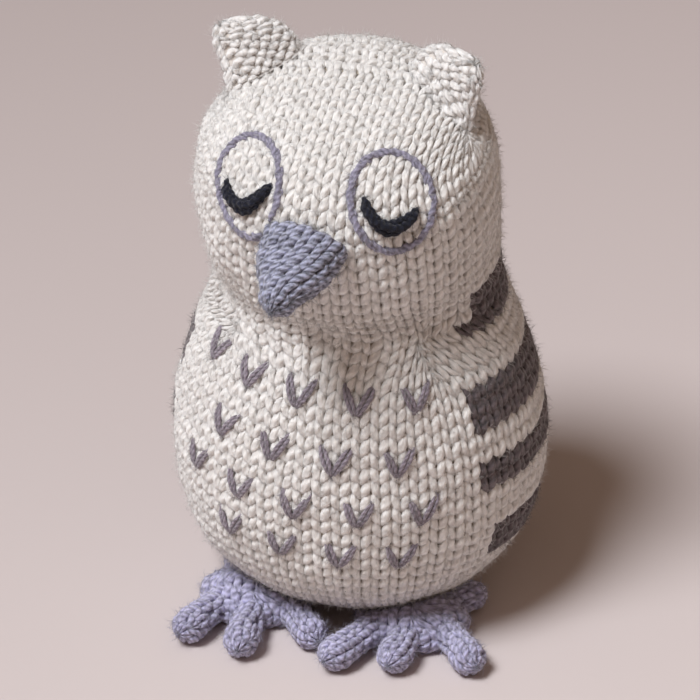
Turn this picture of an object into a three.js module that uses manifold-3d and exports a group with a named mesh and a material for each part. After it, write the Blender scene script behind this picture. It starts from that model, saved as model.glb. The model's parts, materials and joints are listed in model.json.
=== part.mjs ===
// A hand-knitted owl rattle that stands on a table.
// A stuffed body and head of cream cotton, with sewn-on ears, beak and feet of separate knitting,
// eyes and breast feathers embroidered in yarn, and a rattle ball with loose beads in the belly.
// Millimetres, +Z up. The owl looks along -Y, so its left side is +X.
// The origin is the middle of the flat patch that the body stands on.

import * as THREE from 'three';
import Module from 'manifold-3d';
import { mergeVertices } from 'three/addons/utils/BufferGeometryUtils.js';

const wasm = await Module();
wasm.setup();

const { degToRad, lerp, smoothstep } = THREE.MathUtils;

// Driving dimensions

// Fabric and clearances
const fabricThickness = 2.6;
const seamGap = 0.3;
const vertexTolerance = 0.0001;

// Body: profile points are [share of the body radius, share of the body height], floor to neck
const bodyHeight = 83;
const bodyRadius = 45.3;
const bodyLean = 2.5;
const neckRadius = 33.8;
const bodyProfileShares = [
  [0.31, 0], [0.47, 0.022], [0.63, 0.064], [0.76, 0.118], [0.868, 0.187], [0.943, 0.268],
  [0.985, 0.36], [1, 0.46], [0.997, 0.55], [0.97, 0.65], [0.915, 0.77], [0.845, 0.88],
];

// Head: profile points are [share of the head radius, share of the head height], neck to crown
const headHeight = 55.2;
const headRadius = 35;
const headTiltDegrees = 14;
const headSideways = -1.3;
const headBendHeight = 18;
const headProfileShares = [
  [0.965, 0.125], [0.99, 0.285], [1.01, 0.445], [1, 0.605], [0.945, 0.765],
  [0.775, 0.89], [0.5, 0.968], [0, 1],
];

// Neck tucks: the knitting is drawn in at both sides of the throat
const tuckDepth = 1.8;
const tuckHeight = 9;
const tuckAzimuthDegrees = 52;
const tuckSpreadDegrees = 15;

// Rattle ball: two snapped shells round loose beads
const ballRadius = 15;
const ballWall = 1.6;
const ballHeightShare = 0.506;
const lipHeight = 1.5;
const lipThickness = 0.6;
const beadCount = 5;
const beadSpanShare = 0.7015;

// Ears: a plump triangle each, sewn on along its base from a front foot to a back foot.
// Tips are shares of the ear's rise: outwards, along the base and forwards.
const earThickness = 9;
const earRise = 14;
const earTipRadius = 2.2;
const earRootDepth = 5;
const ears = [
  {
    name: 'ear_left', side: 1,
    front: { azimuthDegrees: 92, heightShare: 0.853 },
    back: { azimuthDegrees: 140, heightShare: 0.953 },
    tipShares: { out: 1, along: -0.2, forward: 0.08 },
  },
  {
    name: 'ear_right', side: -1,
    front: { azimuthDegrees: 94.5, heightShare: 0.877 },
    back: { azimuthDegrees: 140.5, heightShare: 0.939 },
    tipShares: { out: 1.02, along: -0.21, forward: -0.26 },
  },
];

// Beak: a plump cone between the eyes, drooping a little to the owl's right
const beakHeightShare = 0.7065;
const beakTurnDegrees = -0.8;
const beakHalfWidth = 10.2;
const beakHalfHeight = 6.5;
const beakTipRadius = 3;
const beakReach = 15.5;
const beakDrop = 8.4;
const beakSideways = 3.2;
const beakRootDepth = 5;
const beakPlumpness = 1.9;

// Eyes: a ring of yarn round each closed eye, and a dark arc for its lid.
// Ring and lid shares are of the ring's size.
const eyeRingSize = 23;
const eyeYarnRadius = 0.9;
const lidWidth = 12.6;
const lidDrop = 4.8;
const lidTurnDegrees = 17;
const lidHalfWidth = 1.3;
const lidEndShare = 0.6;
const lidHalfThickness = 1;
const eyes = [
  {
    name: 'left', side: 1, azimuthDegrees: 37.2, headHeightShare: 0.85, ringTurnDegrees: 2,
    ringShares: { width: 0.826, height: 0.974 }, lidShares: { sideways: -0.035, upwards: -0.043 },
  },
  {
    name: 'right', side: -1, azimuthDegrees: 33, headHeightShare: 0.855, ringTurnDegrees: 33,
    ringShares: { width: 0.739, height: 1.026 }, lidShares: { sideways: 0.022, upwards: -0.004 },
  },
];

// Breast feathers: rows of V stitches, which fall a little towards the owl's left
const featherWidth = 7;
const featherHeight = 7.1;
const featherYarnHalfWidth = 1;
const featherYarnHalfThickness = 0.55;
const featherRowFall = 2.6;
const featherRows = [
  { heightShare: 0.831, columns: 5, pitchDegrees: 20.5, turnDegrees: -5.5 },
  { heightShare: 0.655, columns: 4, pitchDegrees: 20, turnDegrees: -2.5 },
  { heightShare: 0.494, columns: 5, pitchDegrees: 19.3, turnDegrees: -4.5 },
  { heightShare: 0.343, columns: 4, pitchDegrees: 18.3, turnDegrees: 0 },
];

// Feet: a pad sewn under the belly's front edge, three front toes and one rear toe.
// How far forward a foot stands is a share of the body radius, and pad points are shares of the
// pad's outline and height.
const footSideways = 19.5;
const footForwardShare = 0.552;
const footTurnDegrees = 10;
const padHalfWidth = 12.5;
const padFront = 8.5;
const padRear = 4.5;
const padHeight = 10;
const padShares = [[0.86, 0], [0.97, 0.14], [1, 0.4], [0.88, 0.7], [0.62, 0.9], [0.3, 0.985]];
const toeRadius = 3.7;
const toeWaistShare = 0.9;
const toeHeightAxis = 4.2;
const toeRootSideways = 7.2;
const toeRootForward = 4.5;
const middleToeRootForward = 6;
const toeReach = 21.8;
const rearToeRadius = 3.4;
const feet = [
  {
    name: 'left',
    side: 1,
    toes: [
      { name: 'outer_toe', sidewaysShare: 1, splayDegrees: 41.5, reachShare: 1 },
      { name: 'middle_toe', sidewaysShare: 0, splayDegrees: -10, reachShare: 0.8 },
      { name: 'inner_toe', sidewaysShare: -1, splayDegrees: -44, reachShare: 1.12 },
      { name: 'rear_toe', sidewaysShare: 1, splayDegrees: 122, reachShare: 0.75 },
    ],
  },
  {
    name: 'right',
    side: -1,
    toes: [
      { name: 'outer_toe', sidewaysShare: 1, splayDegrees: 41.5, reachShare: 1 },
      { name: 'middle_toe', sidewaysShare: 0, splayDegrees: 4, reachShare: 0.97 },
      { name: 'inner_toe', sidewaysShare: -1, splayDegrees: -42, reachShare: 1 },
      { name: 'rear_toe', sidewaysShare: 0.6, splayDegrees: 150, reachShare: 0.52 },
    ],
  },
];

// Facets
const skinSides = 48;
const skinRings = 16;
const headBendSteps = 16;
const liningRings = 10;
const wadSides = 24;
const pocketRingCount = 5;
const ballSides = 24;
const ballArcSteps = 7;
const beadSides = 12;
const beadRings = 8;
const yarnSides = 6;
const surfaceProbeDegrees = 1;
const eyeSearchSteps = 6;
const eyeRingSteps = 28;
const lidSteps = 10;
const featherLegSteps = 3;
const padSides = 24;
const toeSides = 12;
const roundEndSteps = 4;
const beakSides = 18;
const beakSteps = 6;
const earSides = 18;
const earSteps = 6;

// Materials

const creamCotton = new THREE.MeshStandardMaterial({ color: 0xe9e2d6, roughness: 0.95, metalness: 0 });
const greyCotton = new THREE.MeshStandardMaterial({ color: 0x9a97a3, roughness: 0.95, metalness: 0 });
const plumCotton = new THREE.MeshStandardMaterial({ color: 0x7d707a, roughness: 0.95, metalness: 0 });
const navyCotton = new THREE.MeshStandardMaterial({ color: 0x23262f, roughness: 0.9, metalness: 0 });
const fibreFill = new THREE.MeshStandardMaterial({ color: 0xf4f3ef, roughness: 1, metalness: 0 });
const shellPlastic = new THREE.MeshStandardMaterial({ color: 0xeef0f2, roughness: 0.4, metalness: 0 });
const beadPlastic = new THREE.MeshStandardMaterial({ color: 0xd8a35a, roughness: 0.35, metalness: 0 });

// Solids from rings of points

// A closed surface through rings of equal length. Each end closes on a point, or the rings join up.
function loft(rings, startPoint, endPoint) {
  const sides = rings[0].length;
  const positions = [];
  const triangles = [];
  for (const ring of rings) {
    for (const point of ring) positions.push(point.x, point.y, point.z);
  }
  const closed = !startPoint;
  const spans = closed ? rings.length : rings.length - 1;
  for (let span = 0; span < spans; span += 1) {
    const lower = span * sides;
    const upper = ((span + 1) % rings.length) * sides;
    for (let side = 0; side < sides; side += 1) {
      const next = (side + 1) % sides;
      triangles.push(lower + side, lower + next, upper + next);
      triangles.push(lower + side, upper + next, upper + side);
    }
  }
  if (!closed) {
    const start = positions.length / 3;
    positions.push(startPoint.x, startPoint.y, startPoint.z);
    const end = start + 1;
    positions.push(endPoint.x, endPoint.y, endPoint.z);
    const last = (rings.length - 1) * sides;
    for (let side = 0; side < sides; side += 1) {
      const next = (side + 1) % sides;
      triangles.push(start, next, side);
      triangles.push(end, last + side, last + next);
    }
  }
  const geometry = new THREE.BufferGeometry();
  geometry.setAttribute('position', new THREE.Float32BufferAttribute(positions, 3));
  geometry.setIndex(triangles);
  if (signedVolume(geometry) < 0) {
    for (let corner = 0; corner < triangles.length; corner += 3) {
      [triangles[corner], triangles[corner + 1]] = [triangles[corner + 1], triangles[corner]];
    }
    geometry.setIndex(triangles);
  }
  geometry.computeVertexNormals();
  return geometry;
}

function signedVolume(geometry) {
  const position = geometry.attributes.position;
  const index = geometry.index;
  const a = new THREE.Vector3();
  const b = new THREE.Vector3();
  const c = new THREE.Vector3();
  let sum = 0;
  for (let corner = 0; corner < index.count; corner += 3) {
    a.fromBufferAttribute(position, index.getX(corner));
    b.fromBufferAttribute(position, index.getX(corner + 1));
    c.fromBufferAttribute(position, index.getX(corner + 2));
    sum += a.dot(b.cross(c));
  }
  return sum;
}

function toSolid(geometry) {
  const bare = geometry.clone();
  bare.deleteAttribute('normal');
  bare.deleteAttribute('uv');
  const merged = mergeVertices(bare, vertexTolerance);
  return new wasm.Manifold(new wasm.Mesh({
    numProp: 3,
    vertProperties: new Float32Array(merged.attributes.position.array),
    triVerts: new Uint32Array(merged.index.array),
  }));
}

function toGeometry(solid) {
  const mesh = solid.getMesh();
  const geometry = new THREE.BufferGeometry();
  geometry.setAttribute('position', new THREE.Float32BufferAttribute(mesh.vertProperties, 3));
  geometry.setIndex(Array.from(mesh.triVerts));
  geometry.computeVertexNormals();
  return geometry;
}

// What is left of a piece once each grown neighbour is cut out of it
function cutBy(geometry, neighbours) {
  let solid = toSolid(geometry);
  for (const neighbour of neighbours) solid = solid.subtract(toSolid(neighbour));
  return toGeometry(solid);
}

function namedMesh(name, geometry, material) {
  const mesh = new THREE.Mesh(geometry, material);
  mesh.name = name;
  return mesh;
}

// Profiles

// Points [radius, height] spaced evenly along a smooth curve through the given ones
function smoothProfile(points, steps) {
  const curve = new THREE.SplineCurve(points.map(([radius, height]) => new THREE.Vector2(radius, height)));
  return curve.getSpacedPoints(steps);
}

// The same profile moved inwards, square to itself
function insetProfile(profile, depth) {
  return profile.map((point, place) => {
    const before = profile[Math.max(place - 1, 0)];
    const after = profile[Math.min(place + 1, profile.length - 1)];
    const along = after.clone().sub(before).normalize();
    return new THREE.Vector2(Math.max(point.x - depth * along.y, 0), point.y + depth * along.x);
  });
}

const bodyOutline = bodyProfileShares
  .map(([radiusShare, heightShare]) => [radiusShare * bodyRadius, heightShare * bodyHeight])
  .concat([[neckRadius, bodyHeight]]);
const headOutline = [[neckRadius, 0]].concat(headProfileShares
  .map(([radiusShare, heightShare]) => [radiusShare * headRadius, heightShare * headHeight]));

// How far the neck tucks draw the knitting in, at an azimuth and a distance from the neck
function neckTuck(azimuth, distance) {
  const fade = Math.exp(-((distance / tuckHeight) ** 2));
  const spread = degToRad(tuckSpreadDegrees);
  const centre = degToRad(tuckAzimuthDegrees);
  const left = Math.exp(-(((azimuth - centre) / spread) ** 2));
  const right = Math.exp(-(((azimuth + centre) / spread) ** 2));
  return tuckDepth * fade * (left + right);
}

// Azimuths run from -180 to 180 degrees, 0 at the owl's front and positive to its left
function azimuthOfSide(side, sides) {
  return (side / sides) * 2 * Math.PI - Math.PI;
}

// Body surface

function bodyPoint(radius, height, azimuth) {
  const drawn = radius - neckTuck(azimuth, bodyHeight - height) * (radius / neckRadius);
  const lean = bodyLean * (height / bodyHeight) ** 2;
  return new THREE.Vector3(drawn * Math.sin(azimuth), -drawn * Math.cos(azimuth) - lean, height);
}

function bodyRing(point, sides) {
  return Array.from({ length: sides }, (_, side) => bodyPoint(point.x, point.y, azimuthOfSide(side, sides)));
}

// Head surface: the head leans forward as it leaves the neck

function headFrame(height) {
  const sideways = headSideways * smoothstep(height, 0, headBendHeight);
  const centre = new THREE.Vector3(sideways, -bodyLean, bodyHeight + seamGap);
  for (let step = 0; step < headBendSteps; step += 1) {
    const middle = ((step + 0.5) / headBendSteps) * height;
    centre.addScaledVector(headAxes(middle).up, height / headBendSteps);
  }
  return { centre, ...headAxes(height) };
}

// The head's own directions at a height above the neck
function headAxes(height) {
  const tilt = degToRad(headTiltDegrees) * smoothstep(height, 0, headBendHeight);
  return {
    front: new THREE.Vector3(0, -Math.cos(tilt), -Math.sin(tilt)),
    left: new THREE.Vector3(1, 0, 0),
    up: new THREE.Vector3(0, -Math.sin(tilt), Math.cos(tilt)),
  };
}

function headPoint(radius, height, azimuth) {
  const frame = headFrame(height);
  const drawn = radius - neckTuck(azimuth, height) * (radius / neckRadius);
  return frame.centre
    .addScaledVector(frame.front, drawn * Math.cos(azimuth))
    .addScaledVector(frame.left, drawn * Math.sin(azimuth));
}

function headRing(point, sides) {
  return Array.from({ length: sides }, (_, side) => headPoint(point.x, point.y, azimuthOfSide(side, sides)));
}

// Skins, wads and the solids that cut their neighbours

const neckRim = new THREE.Vector2(neckRadius - fabricThickness, bodyHeight);

// The inside of the body's or head's knitting, or a surface a clearance further in
function bodyLining(clearance) {
  return insetProfile(smoothProfile(bodyOutline, liningRings), fabricThickness + clearance);
}

function headLining(clearance) {
  return insetProfile(smoothProfile(headOutline, liningRings), fabricThickness + clearance);
}

function bodySkin() {
  const outer = smoothProfile(bodyOutline, skinRings);
  const lining = bodyLining(0).slice(0, -1);
  const inner = [...lining, neckRim].reverse();
  const rings = [...outer, ...inner].map((point) => bodyRing(point, skinSides));
  return loft(rings, new THREE.Vector3(), bodyPoint(0, lining[0].y, 0));
}

function headSkin() {
  const outer = smoothProfile(headOutline, skinRings);
  const lining = headLining(0).slice(1);
  const rim = new THREE.Vector2(neckRadius - fabricThickness, 0);
  const crown = outer.pop();
  const innerCrown = lining.pop();
  const rings = [...outer.reverse(), rim, ...lining].map((point) => headRing(point, skinSides));
  return loft(rings, headPoint(0, crown.y, 0), headPoint(0, innerCrown.y - fabricThickness, 0));
}

// The whole body or head as one solid, grown by a clearance
function bodyBlock(grow) {
  const profile = insetProfile(smoothProfile(bodyOutline, skinRings), -grow);
  const rings = profile.map((point) => bodyRing(point, skinSides));
  const top = profile[profile.length - 1];
  return loft(rings, bodyPoint(0, profile[0].y, 0), bodyPoint(0, top.y, 0));
}

function headBlock(grow) {
  const profile = insetProfile(smoothProfile(headOutline, skinRings), -grow);
  const crown = profile.pop();
  const rings = profile.map((point) => headRing(point, skinSides));
  return loft(rings, headPoint(0, profile[0].y, 0), headPoint(0, crown.y + grow, 0));
}

const ballCentreHeight = ballHeightShare * bodyHeight;
const ballCentre = bodyPoint(0, ballCentreHeight, 0);

// A ring of the pocket that the rattle ball lies in, at an angle above or below its middle
function pocketRing(angle, sides, middle) {
  const radius = (ballRadius + seamGap) * Math.cos(angle);
  const height = middle + (ballRadius + seamGap) * Math.sin(angle);
  return Array.from({ length: sides }, (_, side) => {
    const azimuth = azimuthOfSide(side, sides);
    return new THREE.Vector3(radius * Math.sin(azimuth), ballCentre.y - radius * Math.cos(azimuth), height);
  });
}

function pocketRings(sign, middle) {
  return Array.from({ length: pocketRingCount }, (_, ring) => {
    const angle = (ring / pocketRingCount) * (Math.PI / 2);
    return pocketRing(sign * angle, wadSides, middle);
  });
}

function profileBetween(profile, low, high) {
  const radiusAt = (height) => {
    const next = profile.findIndex((point) => point.y >= height);
    const above = profile[Math.max(next, 1)];
    const below = profile[Math.max(next, 1) - 1];
    return lerp(below.x, above.x, (height - below.y) / (above.y - below.y));
  };
  const inside = profile.filter((point) => {
    return point.y > low + vertexTolerance && point.y < high - vertexTolerance;
  });
  return [new THREE.Vector2(radiusAt(low), low), ...inside, new THREE.Vector2(radiusAt(high), high)];
}

const wadProfile = bodyLining(seamGap);

function lowerWad() {
  const top = ballCentreHeight - seamGap / 2;
  const outer = profileBetween(wadProfile, wadProfile[0].y, top).map((point) => bodyRing(point, wadSides));
  const pocket = pocketRings(-1, top);
  const bottom = bodyPoint(0, wadProfile[0].y, 0);
  return loft([...outer, ...pocket], bottom, new THREE.Vector3(0, ballCentre.y, top - ballRadius - seamGap));
}

function upperWad() {
  const base = ballCentreHeight + seamGap / 2;
  const top = wadProfile[wadProfile.length - 1].y;
  const outer = profileBetween(wadProfile, base, top).map((point) => bodyRing(point, wadSides));
  const pocket = pocketRings(1, base).reverse();
  const roof = new THREE.Vector3(0, ballCentre.y, base + ballRadius + seamGap);
  return loft([...pocket, ...outer], roof, bodyPoint(0, top, 0));
}

function headWad() {
  const profile = headLining(seamGap);
  const crown = profile.pop();
  const rings = profile.map((point) => headRing(point, wadSides));
  return loft(rings, headPoint(0, profile[0].y, 0), headPoint(0, crown.y - fabricThickness - seamGap, 0));
}

// Rattle ball

const ballInnerRadius = ballRadius - ballWall;
const lipOuterRadius = ballInnerRadius + lipThickness;

// The beads lie side by side across a share of the ball's bore
const beadPitch = (beadSpanShare * 2 * ballInnerRadius) / (beadCount - 1);
const beadRadius = (beadPitch - seamGap) / 2;

function arcProfile(radius, fromAngle, toAngle) {
  return Array.from({ length: ballArcSteps + 1 }, (_, step) => {
    const angle = lerp(fromAngle, toAngle, step / ballArcSteps);
    return new THREE.Vector2(radius * Math.cos(angle), radius * Math.sin(angle));
  });
}

function turned(profile, sides) {
  const start = profile[0];
  const end = profile[profile.length - 1];
  const rings = profile.slice(1, -1).map((point) => Array.from({ length: sides }, (_, side) => {
    const azimuth = azimuthOfSide(side, sides);
    return new THREE.Vector3(point.x * Math.sin(azimuth), -point.x * Math.cos(azimuth), point.y);
  }));
  return loft(rings, new THREE.Vector3(0, 0, start.y), new THREE.Vector3(0, 0, end.y));
}

// The lower shell carries a thin lip that the upper shell snaps over
function lowerBallShell() {
  const outer = arcProfile(ballRadius, -Math.PI / 2, 0);
  const inner = arcProfile(ballInnerRadius, 0, -Math.PI / 2);
  const lip = [
    new THREE.Vector2(lipOuterRadius, 0),
    new THREE.Vector2(lipOuterRadius, lipHeight),
    new THREE.Vector2(ballInnerRadius, lipHeight),
  ];
  return turned([...outer, ...lip, ...inner], ballSides);
}

function upperBallShell() {
  const innerStart = Math.asin((lipHeight + seamGap) / ballInnerRadius);
  const inner = arcProfile(ballInnerRadius, Math.PI / 2, innerStart);
  const rebateRadius = lipOuterRadius + seamGap;
  const rebate = [
    new THREE.Vector2(rebateRadius, lipHeight + seamGap),
    new THREE.Vector2(rebateRadius, seamGap),
  ];
  const outerStart = Math.asin(seamGap / ballRadius);
  const outer = arcProfile(ballRadius, outerStart, Math.PI / 2);
  return turned([...inner, ...rebate, ...outer], ballSides);
}

// Each bead rolls round the inside of the ball in its own plane across X
function beadPlaces() {
  const reach = ballInnerRadius - beadRadius - seamGap;
  return Array.from({ length: beadCount }, (_, bead) => {
    const sideways = (bead - (beadCount - 1) / 2) * beadPitch;
    return new THREE.Vector3(sideways, 0, -Math.sqrt(reach ** 2 - sideways ** 2));
  });
}

// Yarn laid on a surface: frames along the stitch hold the surface's point and normal
function laidYarn(frames, halfWidth, halfThickness, closed) {
  const count = frames.length;
  const rings = frames.map((frame, place) => {
    const before = frames[closed ? (place + count - 1) % count : Math.max(place - 1, 0)];
    const after = frames[closed ? (place + 1) % count : Math.min(place + 1, count - 1)];
    const along = after.point.clone().sub(before.point).normalize();
    const across = along.cross(frame.normal).normalize();
    const middle = frame.point.clone().addScaledVector(frame.normal, seamGap + halfThickness);
    const width = halfWidth * (frame.widthShare ?? 1);
    return Array.from({ length: yarnSides }, (_, side) => {
      const angle = (side / yarnSides) * 2 * Math.PI;
      return middle.clone()
        .addScaledVector(across, width * Math.cos(angle))
        .addScaledVector(frame.normal, halfThickness * Math.sin(angle));
    });
  });
  if (closed) return loft(rings);
  const centreOf = (ring) => ring.reduce((sum, point) => sum.add(point), new THREE.Vector3())
    .divideScalar(ring.length);
  return loft(rings, centreOf(rings[0]), centreOf(rings[count - 1]));
}

// A point and its outward normal on a surface given by azimuth and by length along the profile
function surfaceFrame(profile, place, azimuth, length) {
  let left = length;
  let span = 0;
  while (span < profile.length - 2 && left > profile[span].distanceTo(profile[span + 1])) {
    left -= profile[span].distanceTo(profile[span + 1]);
    span += 1;
  }
  const low = profile[span];
  const high = profile[span + 1];
  const spot = low.clone().lerp(high, left / low.distanceTo(high));
  const point = place(spot.x, spot.y, azimuth);
  const up = place(high.x, high.y, azimuth).sub(place(low.x, low.y, azimuth));
  const turn = degToRad(surfaceProbeDegrees);
  const across = place(spot.x, spot.y, azimuth + turn).sub(place(spot.x, spot.y, azimuth - turn));
  return { point, normal: across.cross(up).normalize(), radius: spot.x };
}

function lengthToHeight(profile, height) {
  let length = 0;
  for (let span = 0; span < profile.length - 1; span += 1) {
    const low = profile[span];
    const high = profile[span + 1];
    if (high.y >= height) return length + (low.distanceTo(high) * (height - low.y)) / (high.y - low.y);
    length += low.distanceTo(high);
  }
  return length;
}

// The yarn lies on the faceted skin, so it follows the same rings
const bodyFacetProfile = smoothProfile(bodyOutline, skinRings);
const headFacetProfile = smoothProfile(headOutline, skinRings);

// Eyes

// A spot on the head that lies sideways and upwards from the eye's middle, as seen square on
function eyeFrame(eye, sideways, upwards) {
  let azimuth = eye.side * degToRad(eye.azimuthDegrees);
  let length = lengthToHeight(headFacetProfile, eye.headHeightShare * headHeight);
  const seat = surfaceFrame(headFacetProfile, headPoint, azimuth, length);
  const across = new THREE.Vector3(0, 0, 1).cross(seat.normal).normalize();
  const rise = seat.normal.clone().cross(across);
  let frame = seat;
  for (let step = 0; step < eyeSearchSteps; step += 1) {
    const offset = frame.point.clone().sub(seat.point);
    azimuth += (sideways - offset.dot(across)) / frame.radius;
    length += upwards - offset.dot(rise);
    frame = surfaceFrame(headFacetProfile, headPoint, azimuth, length);
  }
  return frame;
}

function eyeRing(eye) {
  const turn = eye.side * degToRad(eye.ringTurnDegrees);
  const frames = Array.from({ length: eyeRingSteps }, (_, step) => {
    const angle = (step / eyeRingSteps) * 2 * Math.PI;
    const sideways = ((eyeRingSize * eye.ringShares.width) / 2) * Math.cos(angle);
    const upwards = ((eyeRingSize * eye.ringShares.height) / 2) * Math.sin(angle);
    return eyeFrame(
      eye,
      sideways * Math.cos(turn) + upwards * Math.sin(turn),
      upwards * Math.cos(turn) - sideways * Math.sin(turn),
    );
  });
  return laidYarn(frames, eyeYarnRadius, eyeYarnRadius, true);
}

// The lid hangs lower at its outer end
function closedEye(eye) {
  const turn = -eye.side * degToRad(lidTurnDegrees);
  const frames = Array.from({ length: lidSteps + 1 }, (_, step) => {
    const share = lerp(-1, 1, step / lidSteps);
    const sideways = share * (lidWidth / 2);
    const upwards = -lidDrop * (1 - share ** 2);
    const frame = eyeFrame(
      eye,
      eyeRingSize * eye.lidShares.sideways + sideways * Math.cos(turn) - upwards * Math.sin(turn),
      eyeRingSize * eye.lidShares.upwards + sideways * Math.sin(turn) + upwards * Math.cos(turn),
    );
    return { ...frame, widthShare: lerp(1, lidEndShare, share ** 2) };
  });
  return laidYarn(frames, lidHalfWidth, lidHalfThickness, false);
}

// Breast feathers

function feather(row, column) {
  const place = column - (row.columns - 1) / 2;
  const turn = row.turnDegrees + place * row.pitchDegrees;
  const tipHeight = row.heightShare * bodyHeight - (place / (row.columns - 1)) * featherRowFall;
  const tipLength = lengthToHeight(bodyFacetProfile, tipHeight);
  const frames = [];
  for (let step = -featherLegSteps; step <= featherLegSteps; step += 1) {
    const share = step / featherLegSteps;
    const length = tipLength + Math.abs(share) * featherHeight;
    const level = surfaceFrame(bodyFacetProfile, bodyPoint, 0, length);
    const azimuth = degToRad(turn) + (share * featherWidth) / 2 / level.radius;
    frames.push(surfaceFrame(bodyFacetProfile, bodyPoint, azimuth, length));
  }
  return laidYarn(frames, featherYarnHalfWidth, featherYarnHalfThickness, false);
}

// Beak

// The beak's cone, grown by a clearance
function beak(grow) {
  const profile = headFacetProfile;
  const turn = degToRad(beakTurnDegrees);
  const seat = surfaceFrame(profile, headPoint, turn, lengthToHeight(profile, beakHeightShare * headHeight));
  const reach = new THREE.Vector3(-beakSideways, -beakReach, -beakDrop);
  const forward = reach.clone().normalize();
  const across = new THREE.Vector3(1, 0, 0).addScaledVector(forward, -forward.x).normalize();
  const upwards = across.clone().cross(forward).negate();
  const root = seat.point.clone().addScaledVector(forward, -beakRootDepth);
  const tipCentre = seat.point.clone().add(reach).addScaledVector(forward, -beakTipRadius);
  const rings = [];
  const section = (centre, halfWidth, halfHeight) => Array.from({ length: beakSides }, (_, side) => {
    const angle = (side / beakSides) * 2 * Math.PI;
    return centre.clone()
      .addScaledVector(across, halfWidth * Math.cos(angle))
      .addScaledVector(upwards, halfHeight * Math.sin(angle));
  });
  for (let step = 0; step <= beakSteps; step += 1) {
    const share = step / beakSteps;
    const taper = 1 - share ** beakPlumpness;
    const halfWidth = lerp(beakTipRadius, beakHalfWidth, taper);
    const halfHeight = lerp(beakTipRadius, beakHalfHeight, taper);
    rings.push(section(root.clone().lerp(tipCentre, share), halfWidth + grow, halfHeight + grow));
  }
  const noseRadius = beakTipRadius + grow;
  for (let step = 1; step < roundEndSteps; step += 1) {
    const angle = (step / roundEndSteps) * (Math.PI / 2);
    const centre = tipCentre.clone().addScaledVector(forward, noseRadius * Math.sin(angle));
    rings.push(section(centre, noseRadius * Math.cos(angle), noseRadius * Math.cos(angle)));
  }
  const nose = tipCentre.clone().addScaledVector(forward, noseRadius);
  return loft(rings, root, nose);
}

// Ears

function earFoot(side, foot) {
  const length = lengthToHeight(headFacetProfile, foot.heightShare * headHeight);
  return surfaceFrame(headFacetProfile, headPoint, side * degToRad(foot.azimuthDegrees), length);
}

function ear(place) {
  const front = earFoot(place.side, place.front).point;
  const back = earFoot(place.side, place.back).point;
  const middleNormal = earFoot(place.side, {
    azimuthDegrees: (place.front.azimuthDegrees + place.back.azimuthDegrees) / 2,
    heightShare: (place.front.heightShare + place.back.heightShare) / 2,
  }).normal;
  const middle = front.clone().lerp(back, 0.5);
  const along = back.clone().sub(front).normalize();
  const out = middleNormal.addScaledVector(along, -middleNormal.dot(along)).normalize();
  const forward = along.clone().cross(out).multiplyScalar(-place.side);
  const tip = middle.clone()
    .addScaledVector(out, earRise * place.tipShares.out)
    .addScaledVector(along, earRise * place.tipShares.along)
    .addScaledVector(forward, earRise * place.tipShares.forward);
  const rise = tip.clone().sub(middle);
  const through = along.clone().cross(rise).normalize();
  const halfBase = front.distanceTo(back) / 2;
  const section = (centre, halfWidth, halfDepth) => Array.from({ length: earSides }, (_, side) => {
    const angle = (side / earSides) * 2 * Math.PI;
    return centre.clone()
      .addScaledVector(along, halfWidth * Math.cos(angle))
      .addScaledVector(through, halfDepth * Math.sin(angle));
  });
  const root = middle.clone().addScaledVector(rise.clone().normalize(), -earRootDepth);
  const rings = [section(root, halfBase, earThickness / 2)];
  for (let step = 0; step < earSteps; step += 1) {
    const share = step / earSteps;
    const halfWidth = lerp(halfBase, earTipRadius, share);
    const round = Math.sqrt(1 - share ** 2);
    const centre = middle.clone().addScaledVector(rise, share);
    rings.push(section(centre, halfWidth, Math.max((earThickness / 2) * round, earTipRadius / 2)));
  }
  return loft(rings, root, tip);
}

// Feet: built about the pad's middle, pointing along -Y, with the outer side at +X

function padBlock(grow) {
  const rings = padShares.map(([outlineShare, heightShare]) => {
    return Array.from({ length: padSides }, (_, side) => {
      const angle = azimuthOfSide(side, padSides);
      const lengthways = Math.cos(angle) > 0 ? padFront : padRear;
      return new THREE.Vector3(
        (padHalfWidth * outlineShare + grow) * Math.sin(angle),
        -(lengthways * outlineShare + grow) * Math.cos(angle),
        lerp(-grow, padHeight + grow, heightShare),
      );
    });
  });
  return loft(rings, new THREE.Vector3(0, 0, -grow), new THREE.Vector3(0, 0, padHeight + grow));
}

function toeBlock(root, tip, radius) {
  const forward = tip.clone().sub(root).normalize();
  const across = new THREE.Vector3(0, 0, 1).cross(forward).normalize();
  const upwards = forward.clone().cross(across);
  const section = (centre, size) => Array.from({ length: toeSides }, (_, side) => {
    const angle = (side / toeSides) * 2 * Math.PI;
    return centre.clone()
      .addScaledVector(across, size * Math.cos(angle))
      .addScaledVector(upwards, size * Math.sin(angle));
  });
  const waist = radius * toeWaistShare;
  const rings = [section(root, waist), section(root.clone().lerp(tip, 0.5), waist)];
  for (let step = 0; step < roundEndSteps; step += 1) {
    const angle = (step / roundEndSteps) * (Math.PI / 2);
    const centre = tip.clone().addScaledVector(forward, radius * Math.sin(angle));
    rings.push(section(centre, radius * Math.cos(angle)));
  }
  return loft(rings, root, tip.clone().addScaledVector(forward, radius));
}

function toePoint(splayDegrees, reach) {
  const splay = degToRad(splayDegrees);
  return new THREE.Vector3(reach * Math.sin(splay), -reach * Math.cos(splay), toeHeightAxis);
}

function toeRoot(sideways, forward) {
  return new THREE.Vector3(sideways, -forward, toeHeightAxis);
}

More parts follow.
